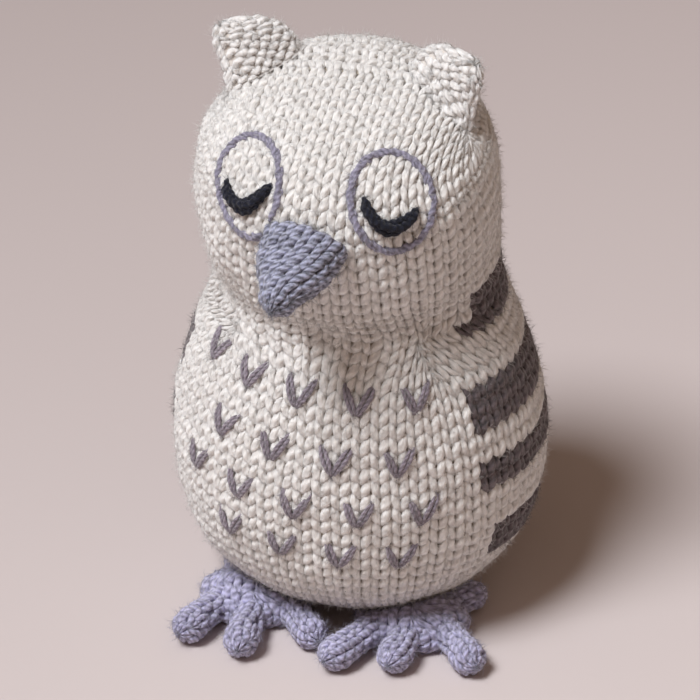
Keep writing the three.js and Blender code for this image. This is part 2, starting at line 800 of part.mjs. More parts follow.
function toeOf(toe) {
  const rear = toe.name === 'rear_toe';
  const middle = toe.sidewaysShare === 0;
  const frontRoot = middle ? middleToeRootForward : toeRootForward;
  const rootForward = rear ? -padRear / 2 : frontRoot;
  const root = toeRoot(toe.sidewaysShare * toeRootSideways, rootForward);
  const tip = toePoint(toe.splayDegrees, toe.reachShare * toeReach);
  return toeBlock(root, tip, rear ? rearToeRadius : toeRadius);
}

// Assembly

const owl = new THREE.Group();
owl.name = 'owl_rattle';

owl.add(namedMesh('body_skin', bodySkin(), creamCotton));
owl.add(namedMesh('head_skin', headSkin(), creamCotton));
owl.add(namedMesh('body_stuffing_lower', lowerWad(), fibreFill));
owl.add(namedMesh('body_stuffing_upper', upperWad(), fibreFill));
owl.add(namedMesh('head_stuffing', headWad(), fibreFill));

const rattle = new THREE.Group();
rattle.position.copy(ballCentre);
rattle.add(namedMesh('rattle_shell_lower', lowerBallShell(), shellPlastic));
rattle.add(namedMesh('rattle_shell_upper', upperBallShell(), shellPlastic));
beadPlaces().forEach((place, bead) => {
  const sphere = new THREE.SphereGeometry(beadRadius, beadSides, beadRings);
  const mesh = namedMesh(`bead_${bead + 1}`, sphere, beadPlastic);
  mesh.position.copy(place);
  rattle.add(mesh);
});
owl.add(rattle);

const headCutter = headBlock(seamGap);
for (const place of ears) owl.add(namedMesh(place.name, cutBy(ear(place), [headCutter]), creamCotton));
owl.add(namedMesh('beak', cutBy(beak(0), [headCutter]), greyCotton));

// The beak is sewn over the edge of the right eye's ring, whose yarn ends against it
const beakCutter = beak(seamGap);
for (const eye of eyes) {
  owl.add(namedMesh(`eye_ring_${eye.name}`, cutBy(eyeRing(eye), [beakCutter]), greyCotton));
  owl.add(namedMesh(`closed_eye_${eye.name}`, closedEye(eye), navyCotton));
}

featherRows.forEach((row, rowPlace) => {
  for (let column = 0; column < row.columns; column += 1) {
    owl.add(namedMesh(`feather_${rowPlace + 1}_${column + 1}`, feather(row, column), plumCotton));
  }
});

const bodyCutter = bodyBlock(seamGap);
for (const foot of feet) {
  const footForward = footForwardShare * bodyRadius;
  const placing = new THREE.Matrix4().makeTranslation(foot.side * footSideways, -footForward, 0)
    .multiply(new THREE.Matrix4().makeRotationZ(degToRad(footTurnDegrees)));
  if (foot.side < 0) placing.multiply(new THREE.Matrix4().makeScale(-1, 1, 1));
  const placed = (geometry) => {
    const moved = geometry.clone().applyMatrix4(placing);
    return foot.side < 0 ? turnedOut(moved) : moved;
  };
  const padCutter = placed(padBlock(seamGap));
  owl.add(namedMesh(`foot_pad_${foot.name}`, cutBy(placed(padBlock(0)), [bodyCutter]), greyCotton));
  for (const toe of foot.toes) {
    const geometry = cutBy(placed(toeOf(toe)), [padCutter, bodyCutter]);
    owl.add(namedMesh(`${toe.name}_${foot.name}`, geometry, greyCotton));
  }
}

// A mirrored surface has its faces turned the right way out again
function turnedOut(geometry) {
  const corners = Array.from(geometry.index.array);
  for (let corner = 0; corner < corners.length; corner += 3) {
    [corners[corner], corners[corner + 1]] = [corners[corner + 1], corners[corner]];
  }
  geometry.setIndex(corners);
  geometry.computeVertexNormals();
  return geometry;
}

export default owl;
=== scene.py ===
"""A hand-knitted owl rattle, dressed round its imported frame.

The body, head, ears, beak and feet are knitted stitch by stitch in soft cotton. The eyes and the
breast feathers are embroidered in twisted yarn. Lengths are millimetres until a mesh is made.
"""

import json
import logging
import math
from dataclasses import dataclass, field
from enum import Enum
from typing import Callable

import bmesh
import bpy
import numpy as np
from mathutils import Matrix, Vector

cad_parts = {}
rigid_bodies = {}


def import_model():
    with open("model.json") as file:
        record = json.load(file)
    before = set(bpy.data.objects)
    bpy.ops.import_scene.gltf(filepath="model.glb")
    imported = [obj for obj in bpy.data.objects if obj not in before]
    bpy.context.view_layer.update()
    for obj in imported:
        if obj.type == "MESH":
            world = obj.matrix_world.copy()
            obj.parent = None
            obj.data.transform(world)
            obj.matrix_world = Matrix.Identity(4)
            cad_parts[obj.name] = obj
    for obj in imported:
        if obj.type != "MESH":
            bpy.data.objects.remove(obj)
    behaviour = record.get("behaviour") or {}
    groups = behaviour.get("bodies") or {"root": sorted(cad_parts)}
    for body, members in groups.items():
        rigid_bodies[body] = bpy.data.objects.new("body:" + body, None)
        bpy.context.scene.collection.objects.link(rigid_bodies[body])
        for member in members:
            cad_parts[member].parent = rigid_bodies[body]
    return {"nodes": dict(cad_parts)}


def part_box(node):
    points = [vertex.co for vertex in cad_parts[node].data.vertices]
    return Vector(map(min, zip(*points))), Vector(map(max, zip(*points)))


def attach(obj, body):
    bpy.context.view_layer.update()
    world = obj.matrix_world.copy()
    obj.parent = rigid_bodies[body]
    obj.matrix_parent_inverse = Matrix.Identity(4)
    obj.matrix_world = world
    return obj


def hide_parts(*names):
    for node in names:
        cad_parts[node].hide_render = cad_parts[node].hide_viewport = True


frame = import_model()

MM = 0.001
FLOOR_GAP = 0.02
SEED = 20
OWL = "owl"

# Yarn's patterns: one wave for each ply, which bumps the yarn and paints shade in its grooves, and drawn
# streaks counted round the yarn and along it.
WAVE_TURN = math.pi / 5
STREAKS_ROUND = 11.0
STREAKS_PER_MM = 0.55
STREAK_LEAN = 0.3

# How far apart a surface is probed for its normals: radians round it and millimetres along it.
PROBE_ROUND = 0.012
PROBE_ALONG = 0.25

# A loose fibre: three points at its root, three at its middle, and its tip.
FIBRE_FACES = ((2, 1, 0), (0, 1, 4, 3), (1, 2, 5, 4), (2, 0, 3, 5), (3, 4, 6), (4, 5, 6), (5, 3, 6))

log = logging.getLogger("owl_rattle")

SurfacePoint = Callable[[np.ndarray, np.ndarray], np.ndarray]
PointTest = Callable[[np.ndarray], np.ndarray]


class Wool(Enum):
    """The yarns that the owl is made of."""

    MAIN = 0
    STRIPE = 1
    # The fabric's inside, which always shows its yarn's painted shade colour.
    LINING = 2


# Small helpers


def run_along(points: np.ndarray) -> np.ndarray:
    """Length along a line at each of its points."""
    return np.concatenate([[0.0], np.cumsum(np.linalg.norm(np.diff(points, axis=0), axis=1))])


def at_runs(wanted: np.ndarray, runs: np.ndarray, points: np.ndarray) -> np.ndarray:
    """Points of a line at the wanted lengths along it."""
    return np.stack([np.interp(wanted, runs, points[:, axis]) for axis in range(points.shape[1])], axis=1)


def turn_flat(across: np.ndarray, ahead: np.ndarray, turn: float) -> tuple[np.ndarray, np.ndarray]:
    """Turns flat places round their origin by an angle in radians."""
    return (
        across * math.cos(turn) - ahead * math.sin(turn), across * math.sin(turn) + ahead * math.cos(turn),
    )


def above_floor(points: np.ndarray) -> np.ndarray:
    """Presses what would hang under the owl flat against the floor."""
    flat = points.copy()
    flat[:, 2] = np.maximum(flat[:, 2], FLOOR_GAP)
    return flat


def smooth_line(points: list[tuple[float, ...]], count: int) -> np.ndarray:
    """Spaces points evenly along a smooth curve through the given ones.

    Args:
        points: The points that the curve passes through.
        count: How many spans the result has.

    Returns:
        An array of count + 1 points.
    """
    given = np.asarray(points, float)
    last = len(given) - 1
    place = np.linspace(0.0, last, count * 8 + 1)
    low = np.minimum(place.astype(int), last)
    share = (place - low)[:, None]
    before = given[np.maximum(low - 1, 0)]
    start = given[low]
    end = given[np.minimum(low + 1, last)]
    after = given[np.minimum(low + 2, last)]
    leave = (end - before) / 2
    arrive = (after - start) / 2
    dense = (
        (2 * start - 2 * end + leave + arrive) * share**3
        + (-3 * start + 3 * end - 2 * leave - arrive) * share**2
        + leave * share
        + start
    )
    run = run_along(dense)
    return at_runs(np.linspace(0.0, run[-1], count + 1), run, dense)


def unit(vectors: np.ndarray) -> np.ndarray:
    """Scales each vector to length one."""
    size = np.linalg.norm(vectors, axis=-1, keepdims=True)
    return vectors / np.maximum(size, 1e-9)


def ease(value: np.ndarray | float, low: float, high: float) -> np.ndarray | float:
    """Rises smoothly from 0 at low to 1 at high."""
    share = np.clip((value - low) / (high - low), 0.0, 1.0)
    return share * share * (3 - 2 * share)


def linear(code: str) -> tuple[float, float, float, float]:
    """Turns an sRGB hex colour into linear red, green, blue and alpha."""
    shares = [int(code[place : place + 2], 16) / 255 for place in (1, 3, 5)]
    red, green, blue = [c / 12.92 if c <= 0.04045 else ((c + 0.055) / 1.055) ** 2.4 for c in shares]
    return red, green, blue, 1.0


def add_node(tree: bpy.types.NodeTree, kind: str, settings: dict[str, object] | None = None,
             **inputs: object) -> bpy.types.Node:
    """Adds a node, sets it up and links it.

    Args:
        tree: The node tree that gets the node.
        kind: The node's type.
        settings: Values of the node's own properties.
        **inputs: Values or sockets for its inputs, by name, with _ for a space, or iN for input N.

    Returns:
        The new node.
    """
    node = tree.nodes.new(kind)
    for name, value in (settings or {}).items():
        setattr(node, name, value)
    for name, value in inputs.items():
        numbered = name[0] == "i" and name[1:].isdigit()
        socket = node.inputs[int(name[1:]) if numbered else name.replace("_", " ")]
        if isinstance(value, bpy.types.NodeSocket):
            tree.links.new(value, socket)
        else:
            socket.default_value = value
    return node


def empty_tree(owner: bpy.types.Material | bpy.types.World) -> bpy.types.NodeTree:
    """Gives a material or a world an empty node tree."""
    owner.use_nodes = True
    owner.node_tree.nodes.clear()
    return owner.node_tree


def add_object(name: str, data: bpy.types.ID) -> bpy.types.Object:
    """Puts an object in the scene, at the origin."""
    obj = bpy.data.objects.new(name, data)
    bpy.context.scene.collection.objects.link(obj)
    return obj


def hand_over(obj: bpy.types.Object, body: str, node: str) -> None:
    """Says what a piece rides on and what it stands for."""
    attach(obj, body)
    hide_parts(node)


def deselect_all() -> None:
    """Leaves nothing selected, because the frame's nodes come in selected."""
    for obj in bpy.context.scene.objects:
        obj.select_set(False)
    bpy.context.view_layer.objects.active = None


# Finishes


@dataclass(frozen=True)
class KnittingYarn:
    """Soft two-ply combed cotton: matt, with a faint halo and fine slanting plies."""

    name: str
    colour: str
    # The colour painted as shade where the yarn lies deep between the stitches.
    painted_shade_and_dark_strand_colour: str
    roughness: float = 0.92
    sheen: float = 0.3
    ply_pitch: float = 2.6
    ply_depth: float = 0.14
    streak_and_painted_ply_shade: float = 0.2
    streak_relief: float = 0.7
    tone_spread: float = 0.10
    bloom_pitch: float = 14.0
    bloom_tone: float = 0.08
    nap_pitch: float = 0.42
    nap_relief: float = 0.9
    nap_tone: float = 0.16
    # The lift above which the painted shade has given way to the yarn's own colour.
    crest_lift: float = 0.62
    softness: float = 0.45
    soft_depth: float = 1.0
    soft_shares: tuple[float, float, float] = (1.0, 0.95, 0.9)

    def build(self) -> bpy.types.Material:
        """Makes the material, which reads the yarn's own UV map, its tone, and its lift for painted shade."""
        material = bpy.data.materials.new(self.name)
        tree = empty_tree(material)
        lift = add_node(tree, "ShaderNodeAttribute", {"attribute_name": "lift"}).outputs["Fac"]
        tone = add_node(tree, "ShaderNodeAttribute", {"attribute_name": "tone"}).outputs["Fac"]
        along = add_node(tree, "ShaderNodeUVMap", {"uv_map": "yarn"}).outputs["UV"]
        place = add_node(tree, "ShaderNodeTexCoord").outputs["Object"]
        twisted = add_node(
            tree, "ShaderNodeMapping", Vector=along, Scale=(2 * WAVE_TURN, WAVE_TURN / self.ply_pitch, 1.0),
        )
        plies = add_node(
            tree, "ShaderNodeTexWave",
            {"wave_type": "BANDS", "bands_direction": "DIAGONAL", "wave_profile": "SIN"},
            Vector=twisted.outputs[0], Scale=1.0, Distortion=0.8, Detail=1.0, Detail_Scale=2.0,
        ).outputs["Fac"]
        drawn = add_node(
            tree, "ShaderNodeMapping", Vector=along,
            Scale=(STREAKS_ROUND, STREAKS_PER_MM, 1.0), Rotation=(0.0, 0.0, STREAK_LEAN),
        )
        streaks = add_node(
            tree, "ShaderNodeTexNoise", Vector=drawn.outputs[0], Scale=1.0, Detail=3.0, Roughness=0.65,
        )
        fibres = add_node(
            tree, "ShaderNodeMapRange", Value=streaks.outputs["Fac"], From_Min=0.3, From_Max=0.7,
        ).outputs["Result"]
        bloom, nap = (
            add_node(
                tree, "ShaderNodeTexNoise", Vector=place, Scale=1 / (pitch * MM),
                Detail=detail, Roughness=rough,
            ).outputs["Fac"]
            for pitch, detail, rough in ((self.bloom_pitch, 2.0, 0.5), (self.nap_pitch, 3.0, 0.7))
        )
        # Painted shade: the colour darkens towards the shade colour where the yarn lies deep in the fabric.
        depth = add_node(
            tree, "ShaderNodeMapRange", {"interpolation_type": "SMOOTHSTEP"},
            Value=lift, From_Min=0.0, From_Max=self.crest_lift,
        )
        painted_shade_ground = add_node(
            tree, "ShaderNodeMix", {"data_type": "RGBA"},
            i0=depth.outputs["Result"], i6=linear(self.painted_shade_and_dark_strand_colour), i7=linear(self.colour),
        )
        # Painted shade and light: the ply wave darkens the grooves between the plies and lightens their
        # crests; the streaks, tone, bloom and nap are the yarn's own tones at random.
        tints = (
            (fibres, self.streak_and_painted_ply_shade), (plies, self.streak_and_painted_ply_shade), (tone, self.tone_spread),
            (bloom, self.bloom_tone), (nap, self.nap_tone),
        )
        reliefs = ((fibres, self.streak_relief), (nap, self.nap_relief))
        sums = []
        for total, parts in ((1 - sum(share for _, share in tints) / 2, tints), (plies, reliefs)):
            for source, share in parts:
                total = add_node(
                    tree, "ShaderNodeMath", {"operation": "MULTIPLY_ADD"}, i0=source, i1=share, i2=total,
                ).outputs[0]
            sums.append(total)
        value, relief = sums
        coloured = add_node(tree, "ShaderNodeHueSaturation", Color=painted_shade_ground.outputs[2], Value=value)
        bump = add_node(tree, "ShaderNodeBump", Strength=0.8, Distance=self.ply_depth * MM, Height=relief)
        shader = add_node(
            tree, "ShaderNodeBsdfPrincipled", Base_Color=coloured.outputs[0], Roughness=self.roughness,
            Sheen_Weight=self.sheen, Sheen_Roughness=0.6, IOR=1.47, Specular_IOR_Level=0.2,
            Subsurface_Weight=self.softness, Subsurface_Radius=self.soft_shares,
            Subsurface_Scale=self.soft_depth * MM, Normal=bump.outputs[0],
        )
        add_node(tree, "ShaderNodeOutputMaterial", Surface=shader.outputs[0])
        return material


@dataclass(frozen=True)
class PolyesterFill:
    """Carded polyester fibre: a white, matt, cloudy wad."""

    name: str = "polyester_fibre_fill"
    colour: str = "#F4F3EF"
    # The colour of the wad's darker strands, spread at random.
    painted_shade_and_dark_strand_colour: str = "#DEDCD6"
    strand_pitch: float = 1.2
    strand_depth: float = 0.4

    def build(self) -> bpy.types.Material:
        """Makes the material."""
        material = bpy.data.materials.new(self.name)
        tree = empty_tree(material)
        place = add_node(tree, "ShaderNodeTexCoord")
        strands = add_node(
            tree, "ShaderNodeTexNoise", Vector=place.outputs["Object"],
            Scale=1 / (self.strand_pitch * MM), Detail=4.0, Distortion=1.5,
        ).outputs["Fac"]
        shades = add_node(
            tree, "ShaderNodeMix", {"data_type": "RGBA"},
            i0=strands, i6=linear(self.painted_shade_and_dark_strand_colour), i7=linear(self.colour),
        )
        bump = add_node(tree, "ShaderNodeBump", Strength=0.6, Distance=self.strand_depth * MM, Height=strands)
        shader = add_node(
            tree, "ShaderNodeBsdfPrincipled", Base_Color=shades.outputs[2], Roughness=1.0,
            Sheen_Weight=0.4, Normal=bump.outputs[0],
        )
        add_node(tree, "ShaderNodeOutputMaterial", Surface=shader.outputs[0])
        return material


@dataclass(frozen=True)
class MouldedPlastic:
    """Injection-moulded plastic: an even colour with a very fine sparked texture."""

    name: str
    colour: str
    roughness: float
    roughness_spread: float = 0.12
    texture_pitch: float = 0.3
    texture_depth: float = 0.03

    def build(self) -> bpy.types.Material:
        """Makes the material."""
        material = bpy.data.materials.new(self.name)
        tree = empty_tree(material)
        place = add_node(tree, "ShaderNodeTexCoord")
        spark = add_node(
            tree, "ShaderNodeTexNoise", Vector=place.outputs["Object"],
            Scale=1 / (self.texture_pitch * MM), Detail=2.0,
        ).outputs["Fac"]
        shine = add_node(
            tree, "ShaderNodeMath", {"operation": "MULTIPLY_ADD"},
            i0=spark, i1=self.roughness_spread, i2=self.roughness - self.roughness_spread / 2,
        )
        bump = add_node(tree, "ShaderNodeBump", Strength=0.3, Distance=self.texture_depth * MM, Height=spark)
        shader = add_node(
            tree, "ShaderNodeBsdfPrincipled", Base_Color=linear(self.colour), IOR=1.5,
            Roughness=shine.outputs[0], Normal=bump.outputs[0],
        )
        add_node(tree, "ShaderNodeOutputMaterial", Surface=shader.outputs[0])
        return material


Finish = KnittingYarn | PolyesterFill | MouldedPlastic


CREAM_YARN = KnittingYarn(
    "combed_cotton_cream", "#EBE7E3", "#DDD2C8", sheen=0.55, ply_depth=0.3, streak_and_painted_ply_shade=0.26,
)
# Painted light: the same cream cotton as the body, made lighter on the ears for the light that falls on them.
EAR_PAINTED_LIGHT_YARN = KnittingYarn(
    "combed_cotton_cream_painted_light", "#F0ECE9", "#E8DFD7", sheen=0.65, ply_depth=0.3, streak_and_painted_ply_shade=0.26,
)
GREY_YARN = KnittingYarn(
    "combed_cotton_grey", "#AFACC9", "#65627E", ply_pitch=1.7, ply_depth=0.34,
    streak_and_painted_ply_shade=0.55, tone_spread=0.24,
)
BEAK_YARN = KnittingYarn(
    "combed_cotton_beak", "#9698AC", "#3C3B4C", ply_pitch=1.7, ply_depth=0.36,
    streak_and_painted_ply_shade=0.9, tone_spread=0.34,
)
PLUM_YARN = KnittingYarn(
    "combed_cotton_plum", "#62585B", "#352D2F", ply_pitch=2.0, ply_depth=0.28,
    streak_and_painted_ply_shade=0.7, tone_spread=0.36,
)
FEATHER_YARN = KnittingYarn(
    "combed_cotton_feather", "#918792", "#766C78", ply_pitch=1.5, ply_depth=0.2,
    streak_and_painted_ply_shade=0.5, tone_spread=0.2,
)
RING_YARN = KnittingYarn(
    "combed_cotton_ring", "#918DA0", "#6B677A", ply_pitch=1.5, ply_depth=0.2,
    streak_and_painted_ply_shade=0.5, tone_spread=0.2,
)
NAVY_YARN = KnittingYarn(
    "combed_cotton_navy", "#161825", "#090A10", sheen=0.12, ply_pitch=1.5, ply_depth=0.3,
    streak_and_painted_ply_shade=0.7, tone_spread=0.2,
)
# The fabric's inside, seen in the gaps between stitches, in yarn colours darkened as painted shade.
LINING_PAINTED_SHADE_YARN = KnittingYarn("combed_cotton_inside_painted_shade", "#DCD2C6", "#CFC3B4", sheen=0.1)
GREY_LINING_PAINTED_SHADE_YARN = KnittingYarn("combed_cotton_grey_inside_painted_shade", "#85839A", "#757388", sheen=0.1)
FILL = PolyesterFill()
BALL_PLASTIC = MouldedPlastic("moulded_polypropylene", "#EEF0F2", 0.4)
BEAD_PLASTIC = MouldedPlastic("moulded_bead_plastic", "#D8A35A", 0.35)


class Finishes:
    """Makes each material once and hands it out."""

    def __init__(self) -> None:
        """Starts with no material made."""
        self._made: dict[str, bpy.types.Material] = {}

    def of(self, *finishes: Finish) -> list[bpy.types.Material]:
        """Gives the materials of some finishes, in their order."""
        for finish in finishes:
            if finish.name not in self._made:
                self._made[finish.name] = finish.build()
        return [self._made[finish.name] for finish in finishes]


# Meshes from arrays


@dataclass
class YarnWork:
    """Collects closed pieces of yarn and makes one mesh of them."""

    pieces: list[tuple[np.ndarray, ...]] = field(default_factory=list)
    count: int = 0

    def add(self, points: np.ndarray, corners: np.ndarray, sizes: np.ndarray, uv: np.ndarray,
            lift: np.ndarray, tone: np.ndarray, wool: np.ndarray) -> None:
        """Adds points and faces.

        Args:
            points: Corner points in millimetres.
            corners: Point numbers of every face corner, counted from this piece's first point.
            sizes: How many corners each face has.
            uv: The yarn's map at every face corner.
            lift: From 0 deep in the fabric to 1 on its crest, per point; the yarn is painted in shade where
                it is low.
            tone: A small shade difference from 0 to 1, per point.
            wool: The material's place, per face.
        """
        self.pieces.append((points, corners + self.count, sizes, uv, lift, tone, wool))
        self.count += len(points)

    def build(self, name: str, materials: list[bpy.types.Material]) -> bpy.types.Object:
        """Makes the mesh object, in metres, at the origin."""
        points, corners, sizes, uv, lift, tone, wool = (
            np.concatenate(values) for values in zip(*self.pieces)
        )
        mesh = bpy.data.meshes.new(name)
        mesh.vertices.add(len(points))
        mesh.loops.add(len(corners))
        mesh.polygons.add(len(sizes))
        for holder, label, values in (
            (mesh.vertices, "co", (points * MM).astype(np.float32).ravel()),
            (mesh.loops, "vertex_index", corners.astype(np.int32)),
            (mesh.polygons, "loop_start", (np.cumsum(sizes) - sizes).astype(np.int32)),
            (mesh.polygons, "loop_total", sizes.astype(np.int32)),
            (mesh.polygons, "material_index", wool.astype(np.int32)),
            (mesh.polygons, "use_smooth", np.ones(len(sizes), bool)),
        ):
            holder.foreach_set(label, values)
        mesh.uv_layers.new(name="yarn").data.foreach_set("uv", uv.astype(np.float32).ravel())
        for label, values in (("lift", lift), ("tone", tone)):
            layer = mesh.attributes.new(label, "FLOAT", "POINT")
            layer.data.foreach_set("value", values.astype(np.float32))
        for material in materials:
            mesh.materials.append(material)
        mesh.update(calc_edges=True)
        return add_object(name, mesh)


def repeated(corners: np.ndarray, count: int, size: int) -> np.ndarray:
    """Corner numbers of many copies of a shape that has size points."""
    return (corners[None, :] + (np.arange(count) * size)[:, None]).ravel()


def tube_points(middle: np.ndarray, out: np.ndarray, reach: np.ndarray, sides: int,
                flatten: float) -> np.ndarray:
    """Points of the rings round a line, ring by ring.

    Args:
        middle: Points along the line.
        out: The fabric's outward directions there.
        reach: The rings' radii, one for each ring or for each of its points.
        sides: How many points a ring has.
        flatten: How high the rings are, as a share of their width.

    Returns:
        The points.
    """
    ahead = unit(np.gradient(middle, axis=0))
    beside = unit(np.cross(ahead, out))
    rise = np.cross(beside, ahead)
    angle = 2 * math.pi * np.arange(sides) / sides
    across, upwards = np.cos(angle) * reach, np.sin(angle) * reach * flatten
    points = middle[:, None] + beside[:, None] * across[..., None] + rise[:, None] * upwards[..., None]
    return points.reshape(-1, 3)


def tube_faces(rings: int, sides: int) -> tuple[np.ndarray, np.ndarray, np.ndarray]:
    """Faces of a tube whose rings follow each other, with flat ends.

    Args:
        rings: How many rings the tube has.
        sides: How many points a ring has.

    Returns:
        The corner numbers, the face sizes and each corner's share round and along the tube.
    """
    corners: list[int] = []
    uv: list[tuple[float, float]] = []
    last = rings - 1
    for ring in range(last):
        low, high = ring * sides, (ring + 1) * sides
        for side in range(sides):
            beside = (side + 1) % sides
            corners += [low + side, high + side, high + beside, low + beside]
            uv += [(place / sides, row / last) for place, row in (
                (side, ring), (side, ring + 1), (side + 1, ring + 1), (side + 1, ring),
            )]
    corners += [*range(sides), *reversed(range(last * sides, rings * sides))]
    uv += [(side / sides, 0.0) for side in range(sides)]
    uv += [(side / sides, 1.0) for side in reversed(range(sides))]
    return np.array(corners), np.array([4] * (last * sides) + [sides, sides]), np.array(uv)


def shell_faces(points: np.ndarray, rings: int, sides: int) -> tuple[np.ndarray, np.ndarray]:
    """Faces of a closed skin from one pole to the other, turned so that they point outwards.

    Args:
        points: The points of the rings, and then both poles.
        rings: How many rings the skin has.
        sides: How many points a ring has.

    Returns:
        The corner numbers and the face sizes.
    """
    last, pole = (rings - 1) * sides, rings * sides
    following = [(side, (side + 1) % sides) for side in range(sides)]
    faces: list[tuple[int, ...]] = [
        (low + side, low + beside, low + sides + beside, low + sides + side)
        for low in range(0, last, sides) for side, beside in following
    ]
    for side, beside in following:
        faces += [(pole, beside, side), (pole + 1, last + side, last + beside)]
    volume = sum(
        float(np.dot(points[face[0]], np.cross(points[one], points[two])))
        for face in faces for one, two in zip(face[1:], face[2:])
    )
    if volume < 0:
        faces = [face[::-1] for face in faces]
    return np.concatenate(faces), np.array([len(face) for face in faces])


@dataclass(frozen=True)
class Fuzz:
    """Loose fibre ends that stand off the yarn: how many, how long and how thick, in millimetres."""

    per_stitch: float = 34.0
    shortest: float = 0.8
    longest: float = 2.3
    radius: float = 0.045
    rise_share: float = 0.5
    curl: float = 0.7
    ring_shares: tuple[tuple[float, float], ...] = ((0.0, 1.0), (0.5, 0.85))

    def grow(self, work: YarnWork, roots: np.ndarray, normals: np.ndarray, tones: np.ndarray,
             yarns: np.ndarray, random: np.random.Generator) -> None:
        """Adds one thin closed sliver of fibre for each root.

        Args:
            work: Gets the fibres.
            roots: Where they leave the yarn.
            normals: The fabric's outward directions there.
            tones: Their small shade differences.
            yarns: The place of each one's material.
            random: Gives the small differences.
        """
        count = len(roots)
        if not count:
            return
        length = random.uniform(self.shortest, self.longest, count)[:, None]
        ahead = unit(normals * self.rise_share + unit(random.normal(size=(count, 3))))
        bend = unit(np.cross(ahead, random.normal(size=(count, 3))))
        beside = np.cross(ahead, bend)
        layers = []
        for share, size in self.ring_shares:
            centre = roots + (ahead * share + bend * self.curl * share**2) * length
            for angle in (0.0, 2 * math.pi / 3, 4 * math.pi / 3):
                way = bend * math.cos(angle) + beside * math.sin(angle)
                layers.append(centre + way * self.radius * size)
        layers.append(roots + (ahead + bend * self.curl) * length)
        points = np.stack(layers, axis=1).reshape(-1, 3)
        corners = repeated(np.concatenate(FIBRE_FACES), count, len(layers))
        work.add(
            points, corners, np.tile([len(face) for face in FIBRE_FACES], count), np.zeros((len(corners), 2)),
            np.ones(len(points)), np.repeat(tones, len(layers)), np.repeat(yarns, len(FIBRE_FACES)),
        )


# Stitches


@dataclass(frozen=True)
class StitchLeg:
    """One leg of a stitch: a path across the wale, along it and out of the fabric, in millimetres."""

    across: tuple[float, ...]
    along: tuple[float, ...]
    out: tuple[float, ...]
    thickness: tuple[float, ...]


@dataclass(frozen=True)
class Stitch:
    """A stitch, modelled once: its points are shares of a wale and a course, and millimetres out."""

    legs: tuple[StitchLeg, ...]
    wale: float = 4.7
    course: float = 3.6
    yarn_radius: float = 1.12
    sides: int = 6
    spans: int = 5
    flatten: float = 0.86

    def template(self) -> tuple[np.ndarray, np.ndarray, np.ndarray, np.ndarray]:
        """Makes the stitch's rings.

        Returns:
            Its points as (share across, share along, millimetres out), corners, sizes and UV.
        """
        rings = self.spans + 1
        parts = []
        for number, leg in enumerate(self.legs):
            path = smooth_line(list(zip(leg.across, leg.along, leg.out)), self.spans)
            given = np.linspace(0, 1, len(leg.thickness))
            reach = self.yarn_radius * np.interp(np.linspace(0, 1, rings), given, leg.thickness)
            points = tube_points(path, np.array([0.0, 0.0, 1.0]), reach[:, None], self.sides, self.flatten)
            corners, sizes, uv = tube_faces(rings, self.sides)
            length = float(run_along(path)[-1])
            parts.append((
                points / (self.wale, self.course, 1.0), corners + number * len(points), sizes,
                uv * (1.0, length),
            ))
        shares, corners, sizes, uv = (np.concatenate(values) for values in zip(*parts))
        return shares, corners, sizes, uv

    def crest(self) -> float:
        """How far the stitch stands out, in millimetres."""
        return float(self.template()[0][:, 2].max())


KNIT = Stitch(
    legs=(
        StitchLeg(
            across=(0.1, 0.5, 1.08, 1.58, 1.72, 1.35), along=(-0.95, 0.05, 1.35, 2.75, 3.95, 4.95),
            out=(-0.85, -0.1, 0.45, 0.5, 0.05, -0.75), thickness=(0.74, 0.96, 1.1, 1.12, 1.0, 0.74),
        ),
        StitchLeg(
            across=(-0.1, -0.56, -1.08, -1.4, -1.46, -1.15), along=(-0.95, 0.05, 1.35, 2.75, 3.95, 4.95),
            out=(-0.85, -0.05, 0.4, 0.42, 0.0, -0.75), thickness=(0.74, 0.96, 1.06, 1.08, 0.98, 0.74),
        ),
    ),
)

SNUG_KNIT = Stitch(
    legs=(
        StitchLeg(
            across=(0.1, 0.5, 1.1, 1.6, 1.75, 1.4), along=(-0.9, 0.05, 1.35, 2.75, 3.9, 4.7),
            out=(-0.7, -0.05, 0.3, 0.32, 0.05, -0.6), thickness=(0.8, 1.0, 1.12, 1.14, 1.02, 0.8),
        ),
        StitchLeg(
            across=(-0.1, -0.56, -1.12, -1.5, -1.56, -1.2), along=(-0.9, 0.05, 1.35, 2.75, 3.9, 4.7),
            out=(-0.7, -0.05, 0.28, 0.3, 0.05, -0.6), thickness=(0.8, 1.0, 1.1, 1.12, 1.0, 0.8),
        ),
    ),
    yarn_radius=1.05,
)

PURL = Stitch(
    legs=(
        StitchLeg(
            across=(-1.5, -1.05, 0.0, 1.05, 1.5), along=(-0.6, 0.3, 0.85, 0.3, -0.6),
            out=(-0.5, 0.15, 0.4, 0.15, -0.5), thickness=(0.85, 1.0, 1.1, 1.0, 0.85),
        ),
        StitchLeg(
            across=(0.85, 1.3, 2.35, 3.4, 3.85), along=(3.2, 2.4, 1.9, 2.4, 3.2),
            out=(-0.5, 0.15, 0.4, 0.15, -0.5), thickness=(0.85, 1.0, 1.1, 1.0, 0.85),
        ),
    ),
)


